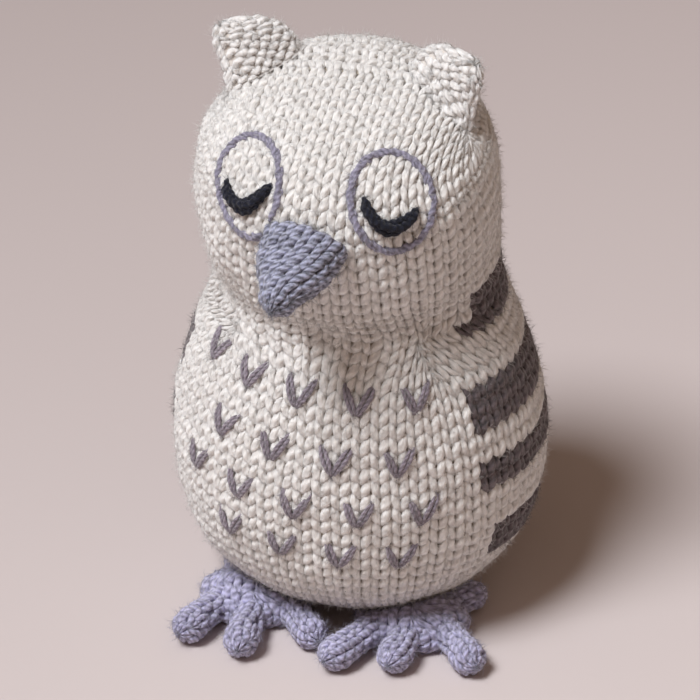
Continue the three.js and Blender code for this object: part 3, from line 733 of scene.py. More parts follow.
@dataclass
class Wales:
    """Where the columns of stitches run over a surface that goes round and along.

    Attributes:
        runs: The place along the surface of every course line.
        edges: For every course line, the place round the surface of each column's edges.
        live: For every course line, which columns have a stitch.
    """

    runs: np.ndarray
    edges: np.ndarray
    live: np.ndarray

    def places(self, column: np.ndarray, course: np.ndarray,
               own: np.ndarray | None = None) -> tuple[np.ndarray, np.ndarray]:
        """Gives the place round and along the surface of points among the columns and courses.

        Args:
            column: Places counted in columns.
            course: Places counted in courses.
            own: The column that each point belongs to, whose width it keeps past its edges.

        Returns:
            The places round and along the surface.
        """
        last = len(self.runs) - 1
        row = np.clip(course, 0.0, last)
        low = np.minimum(row.astype(int), last - 1)
        share = row - low
        most = self.edges.shape[1] - 1
        cell = np.clip((column if own is None else own).astype(int), 0, most - 1)
        part = column - cell

        def round_at(line: np.ndarray) -> np.ndarray:
            """Places round the surface on a course line."""
            left = self.edges[line, cell]
            return left + (self.edges[line, cell + 1] - left) * part

        around = round_at(low) * (1 - share) + round_at(low + 1) * share
        along = np.interp(course, np.arange(last + 1), self.runs)
        return around, along + np.maximum(course - last, 0.0) * (self.runs[-1] - self.runs[-2])


def spread_columns(counts: list[int], most: int, first_dropped: list[int]) -> np.ndarray:
    """Chooses which columns live on each course line, so that the same ones stay as a count falls.

    Args:
        counts: How many columns each course line has.
        most: How many columns there are at the widest.
        first_dropped: Columns that end first, in order.

    Returns:
        A table of course lines by columns, true where a column lives.
    """
    golden = (math.sqrt(5) - 1) / 2
    order = list(first_dropped)
    step = 0
    while len(order) < most:
        wanted = ((step * golden) % 1.0) * most
        left = [column for column in range(most) if column not in order]
        order.append(min(left, key=lambda column: abs((column - wanted + most / 2) % most - most / 2)))
        step += 1
    live = np.ones((len(counts), most), bool)
    for line, count in enumerate(counts):
        live[line, order[: most - count]] = False
    return live


def column_edges(live: np.ndarray, front: int, softness: int = 1, least: float = 0.35,
                 ended: float = 0.02) -> np.ndarray:
    """Shares each turn among the live columns, narrowing those that end.

    Args:
        live: A table of course lines by columns.
        front: The column edge that stays at the front.
        softness: How often the widths are smoothed along the courses.
        least: The least share of a full width that a live column has.
        ended: The share of a full width that an ended column keeps.

    Returns:
        Angles in radians of the columns' edges, 0 at the front, per course line.
    """
    widths = live.astype(float)
    for _ in range(softness):
        padded = np.vstack([widths[:1], widths, widths[-1:]])
        widths = 0.25 * padded[:-2] + 0.5 * padded[1:-1] + 0.25 * padded[2:]
    widths = np.where(live, np.maximum(widths, least), ended)
    total = widths.sum(axis=1, keepdims=True)
    edges = np.concatenate([np.zeros((len(widths), 1)), np.cumsum(widths / total, axis=1)], axis=1)
    return (edges - edges[:, front : front + 1]) * 2 * math.pi


def normals_of(surface: SurfacePoint, around: np.ndarray, along: np.ndarray) -> np.ndarray:
    """Outward normals of a surface."""
    ahead = surface(around, along + PROBE_ALONG) - surface(around, along - PROBE_ALONG)
    beside = surface(around + PROBE_ROUND, along) - surface(around - PROBE_ROUND, along)
    return unit(np.cross(beside, ahead))


@dataclass
class KnittedSkin:
    """Lays stitches on a surface, with a lining behind them.

    Attributes:
        surface: Gives points of the outer surface, in millimetres, from places round and along it.
        wales: Where the columns run.
        conform: Moves points that lie where they can't.
        keep: Says which stitches show, from their middles.
    """

    surface: SurfacePoint
    wales: Wales
    conform: PointTest | None = None
    keep: PointTest | None = None
    size_spread: float = 0.09
    place_spread: float = 0.07
    out_spread: float = 3.0
    middle_share: float = 0.45
    fuzz: Fuzz = Fuzz()
    fuzz_floor: float = 2.8
    fuzz_lift: float = 0.66
    fuzz_tries: float = 2.5
    tone_turns: float = 7.0

    def lay(self, work: YarnWork, stitch: Stitch, chosen: list[tuple[float, float]], wools: list[Wool],
            seed: int, covers: list[float] | float = 1.0) -> None:
        """Lays one stitch on each chosen column and course.

        Args:
            work: Gets the stitches.
            stitch: The stitch to repeat.
            chosen: Pairs of column and course.
            wools: Each stitch's yarn.
            seed: Starts the small differences between stitches.
            covers: How many courses each stitch covers.
        """
        shares, corners, sizes, uv = stitch.template()
        places = np.array(chosen, float).reshape(-1, 2)
        tall = np.broadcast_to(np.reshape(covers, (-1, 1)), (len(places), 1))
        random = np.random.default_rng(seed)
        tones = random.random(len(places))
        grow = 1 + self.size_spread * (random.random(len(places)) - 0.5)
        shift = self.place_spread * (random.random((len(places), 3)) - 0.5)
        yarns = np.array([wool.value for wool in wools])
        if self.keep is not None:
            around, along = self.wales.places(places[:, 0] + 0.5, places[:, 1] + self.middle_share)
            kept = self.keep(self.surface(around, along))
            places, tones, grow, shift, yarns, tall = (
                values[kept] for values in (places, tones, grow, shift, yarns, tall)
            )
        if not len(places):
            return
        column = places[:, :1] + 0.5 + shares[None, :, 0] * grow[:, None] + shift[:, :1]
        course = places[:, 1:] + shares[None, :, 1] * tall + shift[:, 1:2]
        own = np.broadcast_to(places[:, :1], column.shape)
        around, along = self.wales.places(column.ravel(), course.ravel(), own.ravel())
        out = (shares[None, :, 2] + shift[:, 2:] * self.out_spread) * np.ones_like(column) - stitch.crest()
        normals = normals_of(self.surface, around, along)
        points = self.surface(around, along) + normals * out.ravel()[:, None]
        if self.conform is not None:
            points = self.conform(points)
        low, high = float(shares[:, 2].min()), float(shares[:, 2].max())
        lift = np.tile((shares[:, 2] - low) / (high - low), len(places))
        picks = random.integers(0, len(points), round(len(places) * self.fuzz.per_stitch * self.fuzz_tries))
        picks = picks[(lift[picks] > self.fuzz_lift) & (points[picks, 2] > self.fuzz_floor)]
        size = len(shares)
        owners = picks // size
        self.fuzz.grow(work, points[picks], normals[picks], tones[owners], yarns[owners], random)
        shifted = uv[None, :, :] + np.stack([tones * 0, tones * self.tone_turns], axis=1)[:, None, :]
        work.add(
            points, repeated(corners, len(places), size), np.tile(sizes, len(places)), shifted.reshape(-1, 2),
            lift, np.repeat(tones, size), np.repeat(yarns, len(sizes)),
        )

    def line(self, work: YarnWork, start: float, end: float, rings: int, sides: int, depth: float,
             thickness: float) -> None:
        """Adds the fabric's inside, in its yarn's painted shade colour: a closed thin skin, or a solid core
        where thickness is 0.

        Args:
            work: Gets the lining.
            start: Where it starts along the surface.
            end: Where it ends along the surface.
            rings: How many rings it has.
            sides: How many points a ring has.
            depth: How far it lies under the surface.
            thickness: Its own thickness, or 0 for a core with an end at each pole.
        """
        turns = -math.pi + 2 * math.pi * np.arange(sides) / sides
        rows = [(row, depth) for row in np.linspace(start, end, rings)]
        if thickness > 0:
            rows += [(row, depth + thickness) for row, _ in rows[::-1]]
        layers = []
        for along, under in rows:
            runs = np.full(sides, along)
            layers.append(self.surface(turns, runs) - normals_of(self.surface, turns, runs) * under)
        points = np.concatenate([*layers, [layers[0].mean(axis=0), layers[-1].mean(axis=0)]])
        corners, sizes = shell_faces(points, len(layers), sides)
        if self.conform is not None:
            points = self.conform(points)
        count = len(points)
        work.add(
            points, corners, sizes, np.zeros((len(corners), 2)), np.zeros(count),
            np.full(count, 0.5), np.full(len(sizes), Wool.LINING.value),
        )


# The owl's form


@dataclass
class OwlForm:
    """The outer surface of the body and head, as the frame holds it."""

    body_radius: float = 45.3
    body_lean: float = 2.5
    neck_radius: float = 33.8
    seam_gap: float = 0.3
    body_profile_shares: tuple[tuple[float, float], ...] = (
        (0.31, 0), (0.47, 0.022), (0.63, 0.064), (0.76, 0.118), (0.868, 0.187), (0.943, 0.268),
        (0.985, 0.36), (1, 0.46), (0.997, 0.55), (0.97, 0.65), (0.915, 0.77), (0.845, 0.88),
    )
    head_height: float = 55.2
    head_radius: float = 35.0
    head_tilt_degrees: float = 14.0
    head_sideways: float = -1.3
    head_bend_height: float = 18.0
    head_profile_shares: tuple[tuple[float, float], ...] = (
        (0.965, 0.125), (0.99, 0.285), (1.01, 0.445), (1, 0.605), (0.945, 0.765),
        (0.775, 0.89), (0.5, 0.968), (0, 1),
    )
    tuck_depth: float = 1.8
    tuck_height: float = 9.0
    tuck_azimuth_degrees: float = 52.0
    tuck_spread_degrees: float = 15.0
    profile_steps: int = 240
    search_steps: int = 8
    crown_share: float = 0.72
    seam_share: float = 0.8
    seam_back: float = 9.0
    seam_side_degrees: float = 108.0
    fold_power: float = 1.3
    even_rows: int = 40
    even_columns: int = 240
    spine_steps: int = 400
    spine_share: float = 1.1
    fillet_reach: float = 8.0
    fillet_height: float = 15.0
    fillet_least: float = 0.02
    fillet_steps: tuple[float, ...] = (-1.0, -0.5, 0.0, 0.5, 1.0)

    def __post_init__(self) -> None:
        """Works out the profiles and the head's bend."""
        self.body_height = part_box("body_skin")[1].z / MM
        body = [(r * self.body_radius, h * self.body_height) for r, h in self.body_profile_shares]
        body_line = smooth_line([*body, (self.neck_radius, self.body_height)], self.profile_steps)
        head = [(r * self.head_radius, h * self.head_height) for r, h in self.head_profile_shares]
        self.head_line = smooth_line([(self.neck_radius, 0.0), *head], self.profile_steps)
        self.body_line = np.vstack([[0.0, 0.0], body_line])
        self.body_runs = run_along(self.body_line)
        self.head_runs = run_along(self.head_line)
        self.body_length = float(self.body_runs[-1])
        self.length = self.body_length + float(self.head_runs[-1])
        self.crown_start = int(np.searchsorted(self.head_line[:, 1], self.crown_share * self.head_height))
        self.crown_run = self.body_length + float(self.head_runs[self.crown_start])
        heights = np.linspace(0.0, self.head_height * self.spine_share, self.spine_steps)
        tilt = self._tilt(heights)
        forward, rise = (
            np.concatenate([[0.0], np.cumsum((way[1:] + way[:-1]) / 2 * heights[1])])
            for way in (np.sin(tilt), np.cos(tilt))
        )
        self._spine_table = (heights, forward, rise)
        self._even_table: np.ndarray | None = None
        self._even_table = self._even_turns()

    def _tilt(self, height: np.ndarray) -> np.ndarray:
        """How far the head leans at a height above the neck, in radians."""
        return math.radians(self.head_tilt_degrees) * ease(height, 0.0, self.head_bend_height)

    def _spine(self, height: np.ndarray) -> tuple[np.ndarray, ...]:
        """The head's lean at a height above the neck, and how far its middle lies forward and up there."""
        heights, forward, rise = self._spine_table
        return self._tilt(height), np.interp(height, heights, forward), np.interp(height, heights, rise)

    def tuck(self, azimuth: np.ndarray, distance: np.ndarray) -> np.ndarray:
        """How far the neck tucks draw the knitting in."""
        spread = math.radians(self.tuck_spread_degrees)
        centre = math.radians(self.tuck_azimuth_degrees)
        left = np.exp(-(((azimuth - centre) / spread) ** 2))
        right = np.exp(-(((azimuth + centre) / spread) ** 2))
        return self.tuck_depth * np.exp(-((distance / self.tuck_height) ** 2)) * (left + right)

    def body_point(self, radius: np.ndarray, height: np.ndarray, azimuth: np.ndarray) -> np.ndarray:
        """A point of the body at a radius, height and azimuth."""
        drawn = radius - self.tuck(azimuth, self.body_height - height) * (radius / self.neck_radius)
        lean = self.body_lean * (height / self.body_height) ** 2
        return np.stack([drawn * np.sin(azimuth), -drawn * np.cos(azimuth) - lean, height], axis=-1)

    def over_crown(self, radius: np.ndarray, height: np.ndarray, turn: np.ndarray) -> tuple[np.ndarray, ...]:
        """Leads the wales over the crown to a seam from side to side, not to a point.

        Args:
            radius: The profile's radius at the course.
            height: The profile's height at the course.
            turn: The share of the course's girth, as an angle.

        Returns:
            The radius, height and azimuth of the point on the same dome.
        """
        dome = self.head_line[self.crown_start :]
        widest = dome[0, 0]
        narrowed = np.clip(1 - radius / widest, 0.0, 1.0)
        fold = np.where(height > dome[0, 1], narrowed**self.fold_power, 0.0)
        turn = (turn + math.pi) % (2 * math.pi) - math.pi
        away = np.abs(turn)
        side = math.radians(self.seam_side_degrees)
        quarter = math.pi / 2
        behind = away > side
        level = np.where(behind, quarter + (away - side) * quarter / (math.pi - side), away * quarter / side)
        front = np.arcsin(np.clip(level / quarter, 0.0, 1.0))
        back = math.pi - np.arcsin(np.clip((math.pi - level) / quarter, 0.0, 1.0))
        angle = np.sign(turn) * (away * (1 - fold) + np.where(behind, back, front) * fold)
        half_seam = self.seam_share * widest
        wide = half_seam + (widest - half_seam) * (radius / widest) ** 2
        across = np.sin(angle) * np.where(fold > 0, wide, radius)
        ahead = np.cos(angle) * radius - self.seam_back * fold
        reach = np.hypot(across, ahead)
        rows = np.interp(-reach, -dome[:, 0], dome[:, 1])
        return reach, np.where(fold > 0, rows, height), np.arctan2(across, ahead)

    def _course(self, run: float) -> tuple[np.ndarray, np.ndarray]:
        """Even turns round a course, and the length along its way over the crown at each of them."""
        turns = np.linspace(-math.pi, math.pi, self.even_columns + 1)
        return turns, run_along(self.skin_point(turns, np.full(len(turns), run), True))

    def ring_length(self, run: float) -> float:
        """How long the course at a length along the skin is, on its way over the crown."""
        return float(self._course(run)[1][-1])

    def _even_turns(self) -> np.ndarray:
        """Finds the turns that lie evenly spaced round each course of the crown."""
        self._even_runs = np.linspace(self.crown_run, self.length, self.even_rows + 1)
        rows = []
        for run in self._even_runs:
            turns, lengths = self._course(run)
            rows.append(np.interp(turns, -math.pi + 2 * math.pi * lengths / lengths[-1], turns))
        return np.array(rows)

    def _evenly(self, turn: np.ndarray, run: np.ndarray) -> np.ndarray:
        """Spreads turns evenly round the crown's courses."""
        if self._even_table is None:
            return turn
        pitch = self._even_runs[1] - self._even_runs[0]
        row = np.clip((run - self._even_runs[0]) / pitch, 0.0, self.even_rows)
        low = np.minimum(row.astype(int), self.even_rows - 1)
        place = ((turn + math.pi) % (2 * math.pi)) / (2 * math.pi) * self.even_columns
        cell = np.minimum(place.astype(int), self.even_columns - 1)
        part = place - cell
        table = self._even_table
        below = table[low, cell] * (1 - part) + table[low, cell + 1] * part
        above = table[low + 1, cell] * (1 - part) + table[low + 1, cell + 1] * part
        return below + (above - below) * (row - low)

    def head_point(self, radius: np.ndarray, height: np.ndarray, azimuth: np.ndarray) -> np.ndarray:
        """A point of the head at a radius, height above the neck and azimuth."""
        tilt, forward, rise = self._spine(height)
        drawn = radius - self.tuck(azimuth, height) * (radius / self.neck_radius)
        sideways = self.head_sideways * ease(height, 0.0, self.head_bend_height)
        front = drawn * np.cos(azimuth)
        return np.stack(
            [
                sideways + drawn * np.sin(azimuth),
                -self.body_lean - forward - front * np.cos(tilt),
                self.body_height + self.seam_gap + rise - front * np.sin(tilt),
            ],
            axis=-1,
        )

    def skin_point(self, azimuth: np.ndarray, run: np.ndarray, folded: bool = False) -> np.ndarray:
        """A point of the whole skin at an azimuth and a length along it from the base's middle.

        Args:
            azimuth: Round the owl, in radians, 0 at its front and positive to its left.
            run: Length along the skin from the middle of the base.
            folded: Whether the wales run over the crown to its seam.

        Returns:
            The points, in millimetres.
        """
        azimuth = np.asarray(azimuth, float)
        run = np.clip(np.asarray(run, float), 0.0, self.length)
        on_body = run <= self.body_length
        body_run = np.minimum(run, self.body_length)
        body = self.body_point(
            np.interp(body_run, self.body_runs, self.body_line[:, 0]),
            np.interp(body_run, self.body_runs, self.body_line[:, 1]), azimuth,
        )
        head_run = np.maximum(run - self.body_length, 0.0)
        radius = np.interp(head_run, self.head_runs, self.head_line[:, 0])
        height = np.interp(head_run, self.head_runs, self.head_line[:, 1])
        if folded:
            radius, height, azimuth = self.over_crown(radius, height, self._evenly(azimuth, run))
        return np.where(on_body[..., None], body, self.head_point(radius, height, azimuth))

    def filleted(self, azimuth: np.ndarray, run: np.ndarray, folded: bool) -> np.ndarray:
        """The same point, with the crease of the neck drawn round as stretched knitting is."""
        point = self.skin_point(azimuth, run, folded)
        share = np.exp(-(((run - self.body_length) / self.fillet_height) ** 2))
        near = share > self.fillet_least
        if near.any():
            azimuth, run, share = azimuth[near], run[near], share[near][..., None]
            spread = sum(
                self.skin_point(azimuth, run + self.fillet_reach * step, folded) for step in self.fillet_steps
            )
            point[near] = point[near] * (1 - share) + spread / len(self.fillet_steps) * share
        return point

    def radius_at(self, run: float) -> float:
        """The skin's radius at a length along it."""
        if run <= self.body_length:
            return float(np.interp(run, self.body_runs, self.body_line[:, 0]))
        return float(np.interp(run - self.body_length, self.head_runs, self.head_line[:, 0]))

    @staticmethod
    def _past_line(line: np.ndarray, radius: np.ndarray, height: np.ndarray) -> tuple[np.ndarray, ...]:
        """How far points lie outside a profile, and the outward directions there."""
        away = (radius[:, None] - line[None, :, 0]) ** 2 + (height[:, None] - line[None, :, 1]) ** 2
        nearest = np.argmin(away, axis=1)
        ahead = unit(np.gradient(line, axis=0))[nearest]
        out, up = ahead[:, 1], -ahead[:, 0]
        past = (radius - line[nearest, 0]) * out + (height - line[nearest, 1]) * up
        return past, out, up

    def _body_place(self, points: np.ndarray) -> tuple[np.ndarray, ...]:
        """Radius, height and azimuth of points in the leaning body, and its lean there."""
        lean = self.body_lean * (np.clip(points[:, 2], 0, self.body_height) / self.body_height) ** 2
        ahead = points[:, 1] + lean
        return np.hypot(points[:, 0], ahead), points[:, 2], np.arctan2(points[:, 0], -ahead), lean

    def past_body(self, points: np.ndarray) -> np.ndarray:
        """How far points lie outside the body, below zero inside it."""
        radius, height, _, _ = self._body_place(points)
        return self._past_line(self.body_line[1:], radius, height)[0]

    def clear_of_body(self, points: np.ndarray, gap: float) -> np.ndarray:
        """Moves points that lie in the body out to a gap from it."""
        radius, height, azimuth, lean = self._body_place(points)
        past, out, up = self._past_line(self.body_line[1:], radius, height)
        short = np.maximum(gap - past, 0.0)
        radius, height = radius + short * out, height + short * up
        return np.stack([radius * np.sin(azimuth), -radius * np.cos(azimuth) - lean, height], axis=-1)

    def _head_place(self, points: np.ndarray) -> tuple[np.ndarray, ...]:
        """Radius, height above the neck and azimuth of points in the leaning head."""
        above = points[:, 2] - self.body_height - self.seam_gap
        height = above
        for _ in range(self.search_steps):
            tilt, forward, rise = self._spine(height)
            deep = points[:, 1] + self.body_lean + forward
            high = above - rise
            height = height + high * np.cos(tilt) - deep * np.sin(tilt)
        front = -deep * np.cos(tilt) - high * np.sin(tilt)
        left = points[:, 0] - self.head_sideways * ease(height, 0.0, self.head_bend_height)
        return np.hypot(front, left), height, np.arctan2(left, front)

    def past_head(self, points: np.ndarray) -> np.ndarray:
        """How far points lie outside the head, below zero inside it."""
        radius, height, _ = self._head_place(points)
        return self._past_line(self.head_line, radius, height)[0]

    def clear_of_head(self, points: np.ndarray, gap: float) -> np.ndarray:
        """Moves points that lie in the head out to a gap from it."""
        radius, height, azimuth = self._head_place(points)
        past, out, up = self._past_line(self.head_line, radius, height)
        short = np.maximum(gap - past, 0.0)
        tilt = self._tilt(height)
        outwards = np.stack(
            [np.sin(azimuth) * out, -np.cos(azimuth) * np.cos(tilt) * out - np.sin(tilt) * up,
             -np.cos(azimuth) * np.sin(tilt) * out + np.cos(tilt) * up],
            axis=-1,
        )
        return points + outwards * short[:, None]

    def head_run(self, height_share: float) -> float:
        """Length along the skin at a share of the head's height."""
        height = height_share * self.head_height
        return self.body_length + float(np.interp(height, self.head_line[:, 1], self.head_runs))

    def head_spot(self, azimuth_degrees: float, height_share: float) -> tuple[np.ndarray, ...]:
        """A spot of the head: its azimuth and its length along the skin, its point and its normal."""
        azimuth = np.array([math.radians(azimuth_degrees)])
        run = np.array([self.head_run(height_share)])
        return azimuth, run, self.skin_point(azimuth, run)[0], normals_of(self.skin_point, azimuth, run)[0]

    def body_run_of(self, height: float) -> float:
        """Length along the body's profile at a height."""
        return float(np.interp(height, self.body_line[1:, 1], self.body_runs[1:]))


# Body and head


@dataclass(frozen=True)
class Stripe:
    """A dark stripe round the back: its heights at its front edge, and that edge's azimuths."""

    low: float
    high: float
    left_degrees: float
    right_degrees: float


@dataclass
class OwlSkin:
    """The body and head, knitted in the round from the base's middle to the crown."""

    form: OwlForm
    body_wales: int = 60
    head_wales: int = 48
    course_pitch: float = 3.6
    base_wale: float = 3.9
    crown_wale: float = 3.8
    fewest_wales: int = 7
    ended_per_course: int = 4
    courses_before_neck: int = 2
    neck_ending_degrees: tuple[float, ...] = (45, -45, 39, -39, 51, -51, 33, -33, 75, -75, 150, -150)
    crown_ending_degrees: float = 98.0
    gather_azimuth_degrees: float = 46.0
    gather_front_degrees: float = 24.0
    gather_back_degrees: float = 5.0
    gather_height: float = 12.0
    gather_pull: float = 0.34
    pucker_depth: float = 0.9
    pucker_pitch_degrees: float = 11.5
    pucker_height: float = 8.0
    pucker_front: tuple[float, float] = (-0.2, 0.5)
    course_fall: float = 12.0
    lump: float = 0.22
    lump_turns: tuple[float, float] = (5.0, 9.0)
    lump_climbs: tuple[float, float, float] = (0.11, 0.19, -0.23)
    lump_starts: tuple[float, float] = (1.3, 0.6)
    second_lump_share: float = 0.7
    settled_heights: tuple[float, float] = (0.5, 10.0)
    hollow_azimuth: float = 0.04
    hollow_spread: float = 0.13
    hollow_depth: float = 3.4
    hollow_rise: float = 1.0
    hollow_height: float = 9.0
    lining_depth: float = 1.4
    lining_thickness: float = 0.6
    lining_rings: int = 44
    lining_sides: int = 96
    lining_start: float = 1.0
    lining_gap: float = 0.6
    stripes: tuple[Stripe, ...] = (
        Stripe(78.0, 84.0, 59.0, -100.0),
        Stripe(84.0, 90.5, 69.0, -112.0),
        Stripe(60.8, 70.4, 56.5, -72.0),
        Stripe(43.8, 53.8, 55.5, -74.0),
        Stripe(22.4, 33.4, 57.5, -82.0),
    )

    def __post_init__(self) -> None:
        """Works out the courses and columns."""
        neck_run, length = self.form.body_length, self.form.length
        self.neck = round(neck_run / self.course_pitch)
        head_courses = round((length - neck_run) / self.course_pitch)
        self.lines = self.neck + head_courses
        runs = np.concatenate([
            np.linspace(0.0, neck_run, self.neck + 1), np.linspace(neck_run, length, head_courses + 1)[1:],
        ])
        counts = [self._count(line, run) for line, run in enumerate(runs)]
        at_neck = [int((turn + 180) // (360 / self.body_wales)) for turn in self.neck_ending_degrees]
        lower = spread_columns(counts[: self.neck], self.body_wales, at_neck)
        ending = at_neck + self._side_columns(set(at_neck))
        upper = spread_columns(counts[self.neck :], self.body_wales, ending)
        live = np.vstack([lower, upper])
        self.wales = Wales(runs, column_edges(live, self.body_wales // 2, softness=2, least=0.7), live)
        self.fabric = KnittedSkin(self.surface, self.wales, above_floor)
        self.crown_from = int(np.searchsorted(runs, self.form.crown_run))

    def _count(self, line: int, run: float) -> int:
        """How many columns a course line has."""
        past = line - self.neck
        ended = (past + self.courses_before_neck) * self.ended_per_course
        if past <= 0:
            fits = round(2 * math.pi * self.form.radius_at(run) / self.base_wale)
        else:
            fits = round(self.form.ring_length(run) / self.crown_wale)
            ended = min(self.body_wales - self.head_wales, ended)
        return max(self.fewest_wales, min(self.body_wales - max(ended, 0), fits))

    def _side_columns(self, gone: set[int]) -> list[int]:
        """The columns that end on the way over the crown: those at both sides first."""
        step = 360 / self.body_wales
        ranked = sorted(
            range(self.body_wales),
            key=lambda column: abs(abs((column + 0.5) * step - 180) - self.crown_ending_degrees),
        )
        return [column for column in ranked if column not in gone]

    def surface(self, azimuth: np.ndarray, run: np.ndarray) -> np.ndarray:
        """The skin's surface, with its gathers, puckers and soft lumps."""
        azimuth = np.asarray(azimuth, float)
        run = np.asarray(run, float)
        over = run > self.form.length
        azimuth = np.where(over, math.pi - azimuth, azimuth)
        run = np.where(over, 2 * self.form.length - run, run)
        azimuth = (azimuth + math.pi) % (2 * math.pi) - math.pi
        away = run - self.form.body_length
        fall = self.course_fall * (1 - np.cos(azimuth)) / 2
        span = np.clip(run / self.form.body_length, 0.0, 1.0)
        run = run - fall * np.sin(math.pi * span) ** 2
        for side in (-1, 1):
            centre = side * math.radians(self.gather_azimuth_degrees)
            past = side * (azimuth - centre) > 0
            spread = np.radians(np.where(past, self.gather_back_degrees, self.gather_front_degrees))
            near = np.exp(-(((azimuth - centre) / spread) ** 2) - (away / self.gather_height) ** 2)
            azimuth = centre + (azimuth - centre) * (1 - self.gather_pull * near)
        return self._raised(self.form.filleted(azimuth, run, True), azimuth, run)

    def seat(self, azimuth: np.ndarray, run: np.ndarray) -> np.ndarray:
        """A point of the skin at its true azimuth and length, for what is sewn on it."""
        return self._raised(self.form.filleted(azimuth, run, False), azimuth, run)

    def _raised(self, point: np.ndarray, azimuth: np.ndarray, run: np.ndarray) -> np.ndarray:
        """Adds the gathers, the hollow under the beak and soft lumps to points of the skin."""
        away = run - self.form.body_length
        axis = point.copy()
        axis[..., 0] = np.where(away > 0, self.form.head_sideways, 0.0)
        axis[..., 1] = -self.form.body_lean
        outwards = unit(point - axis)
        ripple = np.cos(azimuth * 360 / self.pucker_pitch_degrees)
        near_neck = np.exp(-((away / self.pucker_height) ** 2)) * ease(np.cos(azimuth), *self.pucker_front)
        beside = (azimuth - self.hollow_azimuth) / self.hollow_spread
        above = (away - self.hollow_rise) / self.hollow_height
        hollow = self.hollow_depth * np.exp(-(beside**2) - above**2)
        height = point[..., 2]
        turns, climbs, starts = self.lump_turns, self.lump_climbs, self.lump_starts
        lumps = (
            np.sin(azimuth * turns[0] + height * climbs[0]) * np.sin(height * climbs[1] + starts[0])
            + self.second_lump_share * np.sin(azimuth * turns[1] + height * climbs[2] + starts[1])
        )
        push = ease(height, *self.settled_heights) * (self.lump * lumps - hollow)
        push = push - self.pucker_depth * near_neck * (0.5 + 0.5 * ripple)
        return point + outwards * push[..., None]

    def _crown_places(self) -> tuple[list[tuple[float, float]], list[float]]:
        """Spaces each column's stitches by its real length over the crown, where courses crowd at the sides.

        Returns:
            The pairs of column and course, and how many courses each stitch covers.
        """
        places: list[tuple[float, float]] = []
        covers: list[float] = []
        for column in range(self.body_wales):
            lines = [line for line in range(self.crown_from, self.lines) if self.wales.live[line, column]]
            if not lines:
                continue
            courses = np.linspace(lines[0], lines[-1] + 1, 4 * len(lines) + 1)
            around, along = self.wales.places(np.full(len(courses), column + 0.5), courses)
            path = self.form.skin_point(around, along, True)
            lengths = run_along(path)
            count = max(round(lengths[-1] / self.course_pitch), 1)
            ends = np.interp(np.linspace(0.0, lengths[-1], count + 1), lengths, courses)
            places += [(float(column), float(start)) for start in ends[:-1]]
            covers += [float(cover) for cover in np.diff(ends)]
        return places, covers

    def _wool_of(self, column: float, course: float) -> Wool:
        """The yarn of a stitch: plum where a stripe of the back lies."""
        around, along = self.wales.places(np.array([column + 0.5]), np.array([course + 0.4]))
        azimuth = math.degrees((around[0] + math.pi) % (2 * math.pi) - math.pi)
        height = self.form.skin_point(np.zeros(1) + math.pi / 2, along)[0, 2]
        for stripe in self.stripes:
            behind = azimuth > stripe.left_degrees or azimuth < stripe.right_degrees
            if behind and stripe.low <= height < stripe.high:
                return Wool.STRIPE
        return Wool.MAIN

    def _part(self, part: str, first: int, last: int, line_from: float, line_to: float,
              finishes: Finishes) -> None:
        """Knits the courses from first to last as one piece.

        Args:
            part: What it is of the owl.
            first: Its first course.
            last: The course after its last.
            line_from: Where its lining starts along the skin.
            line_to: Where its lining ends.
            finishes: Gives the materials.
        """
        work = YarnWork()
        chosen = [
            (float(column), float(course)) for course in range(first, min(last, self.crown_from))
            for column in range(self.body_wales) if self.wales.live[course, column]
        ]
        covers = [1.0] * len(chosen)
        if last > self.crown_from:
            crown, crown_covers = self._crown_places()
            chosen, covers = chosen + crown, covers + crown_covers
        wools = [self._wool_of(*place) for place in chosen]
        self.fabric.lay(work, KNIT, chosen, wools, SEED + first, covers)
        self.fabric.line(
            work, line_from, line_to, self.lining_rings, self.lining_sides, self.lining_depth,
            self.lining_thickness,
        )
        obj = work.build(f"{part}_knit", finishes.of(CREAM_YARN, PLUM_YARN, LINING_PAINTED_SHADE_YARN))
        hand_over(obj, OWL, f"{part}_skin")
        log.info("%s: %d stitches", obj.name, len(chosen))

    def build(self, finishes: Finishes) -> None:
        """Knits the body and the head."""
        neck_run, length = self.form.body_length, self.form.length
        self._part("body", 1, self.neck, self.lining_start, neck_run + self.lining_gap / 2, finishes)
        start, end = neck_run + self.lining_gap, length - self.lining_gap
        self._part("head", self.neck, self.lines, start, end, finishes)


# Small knitted pieces


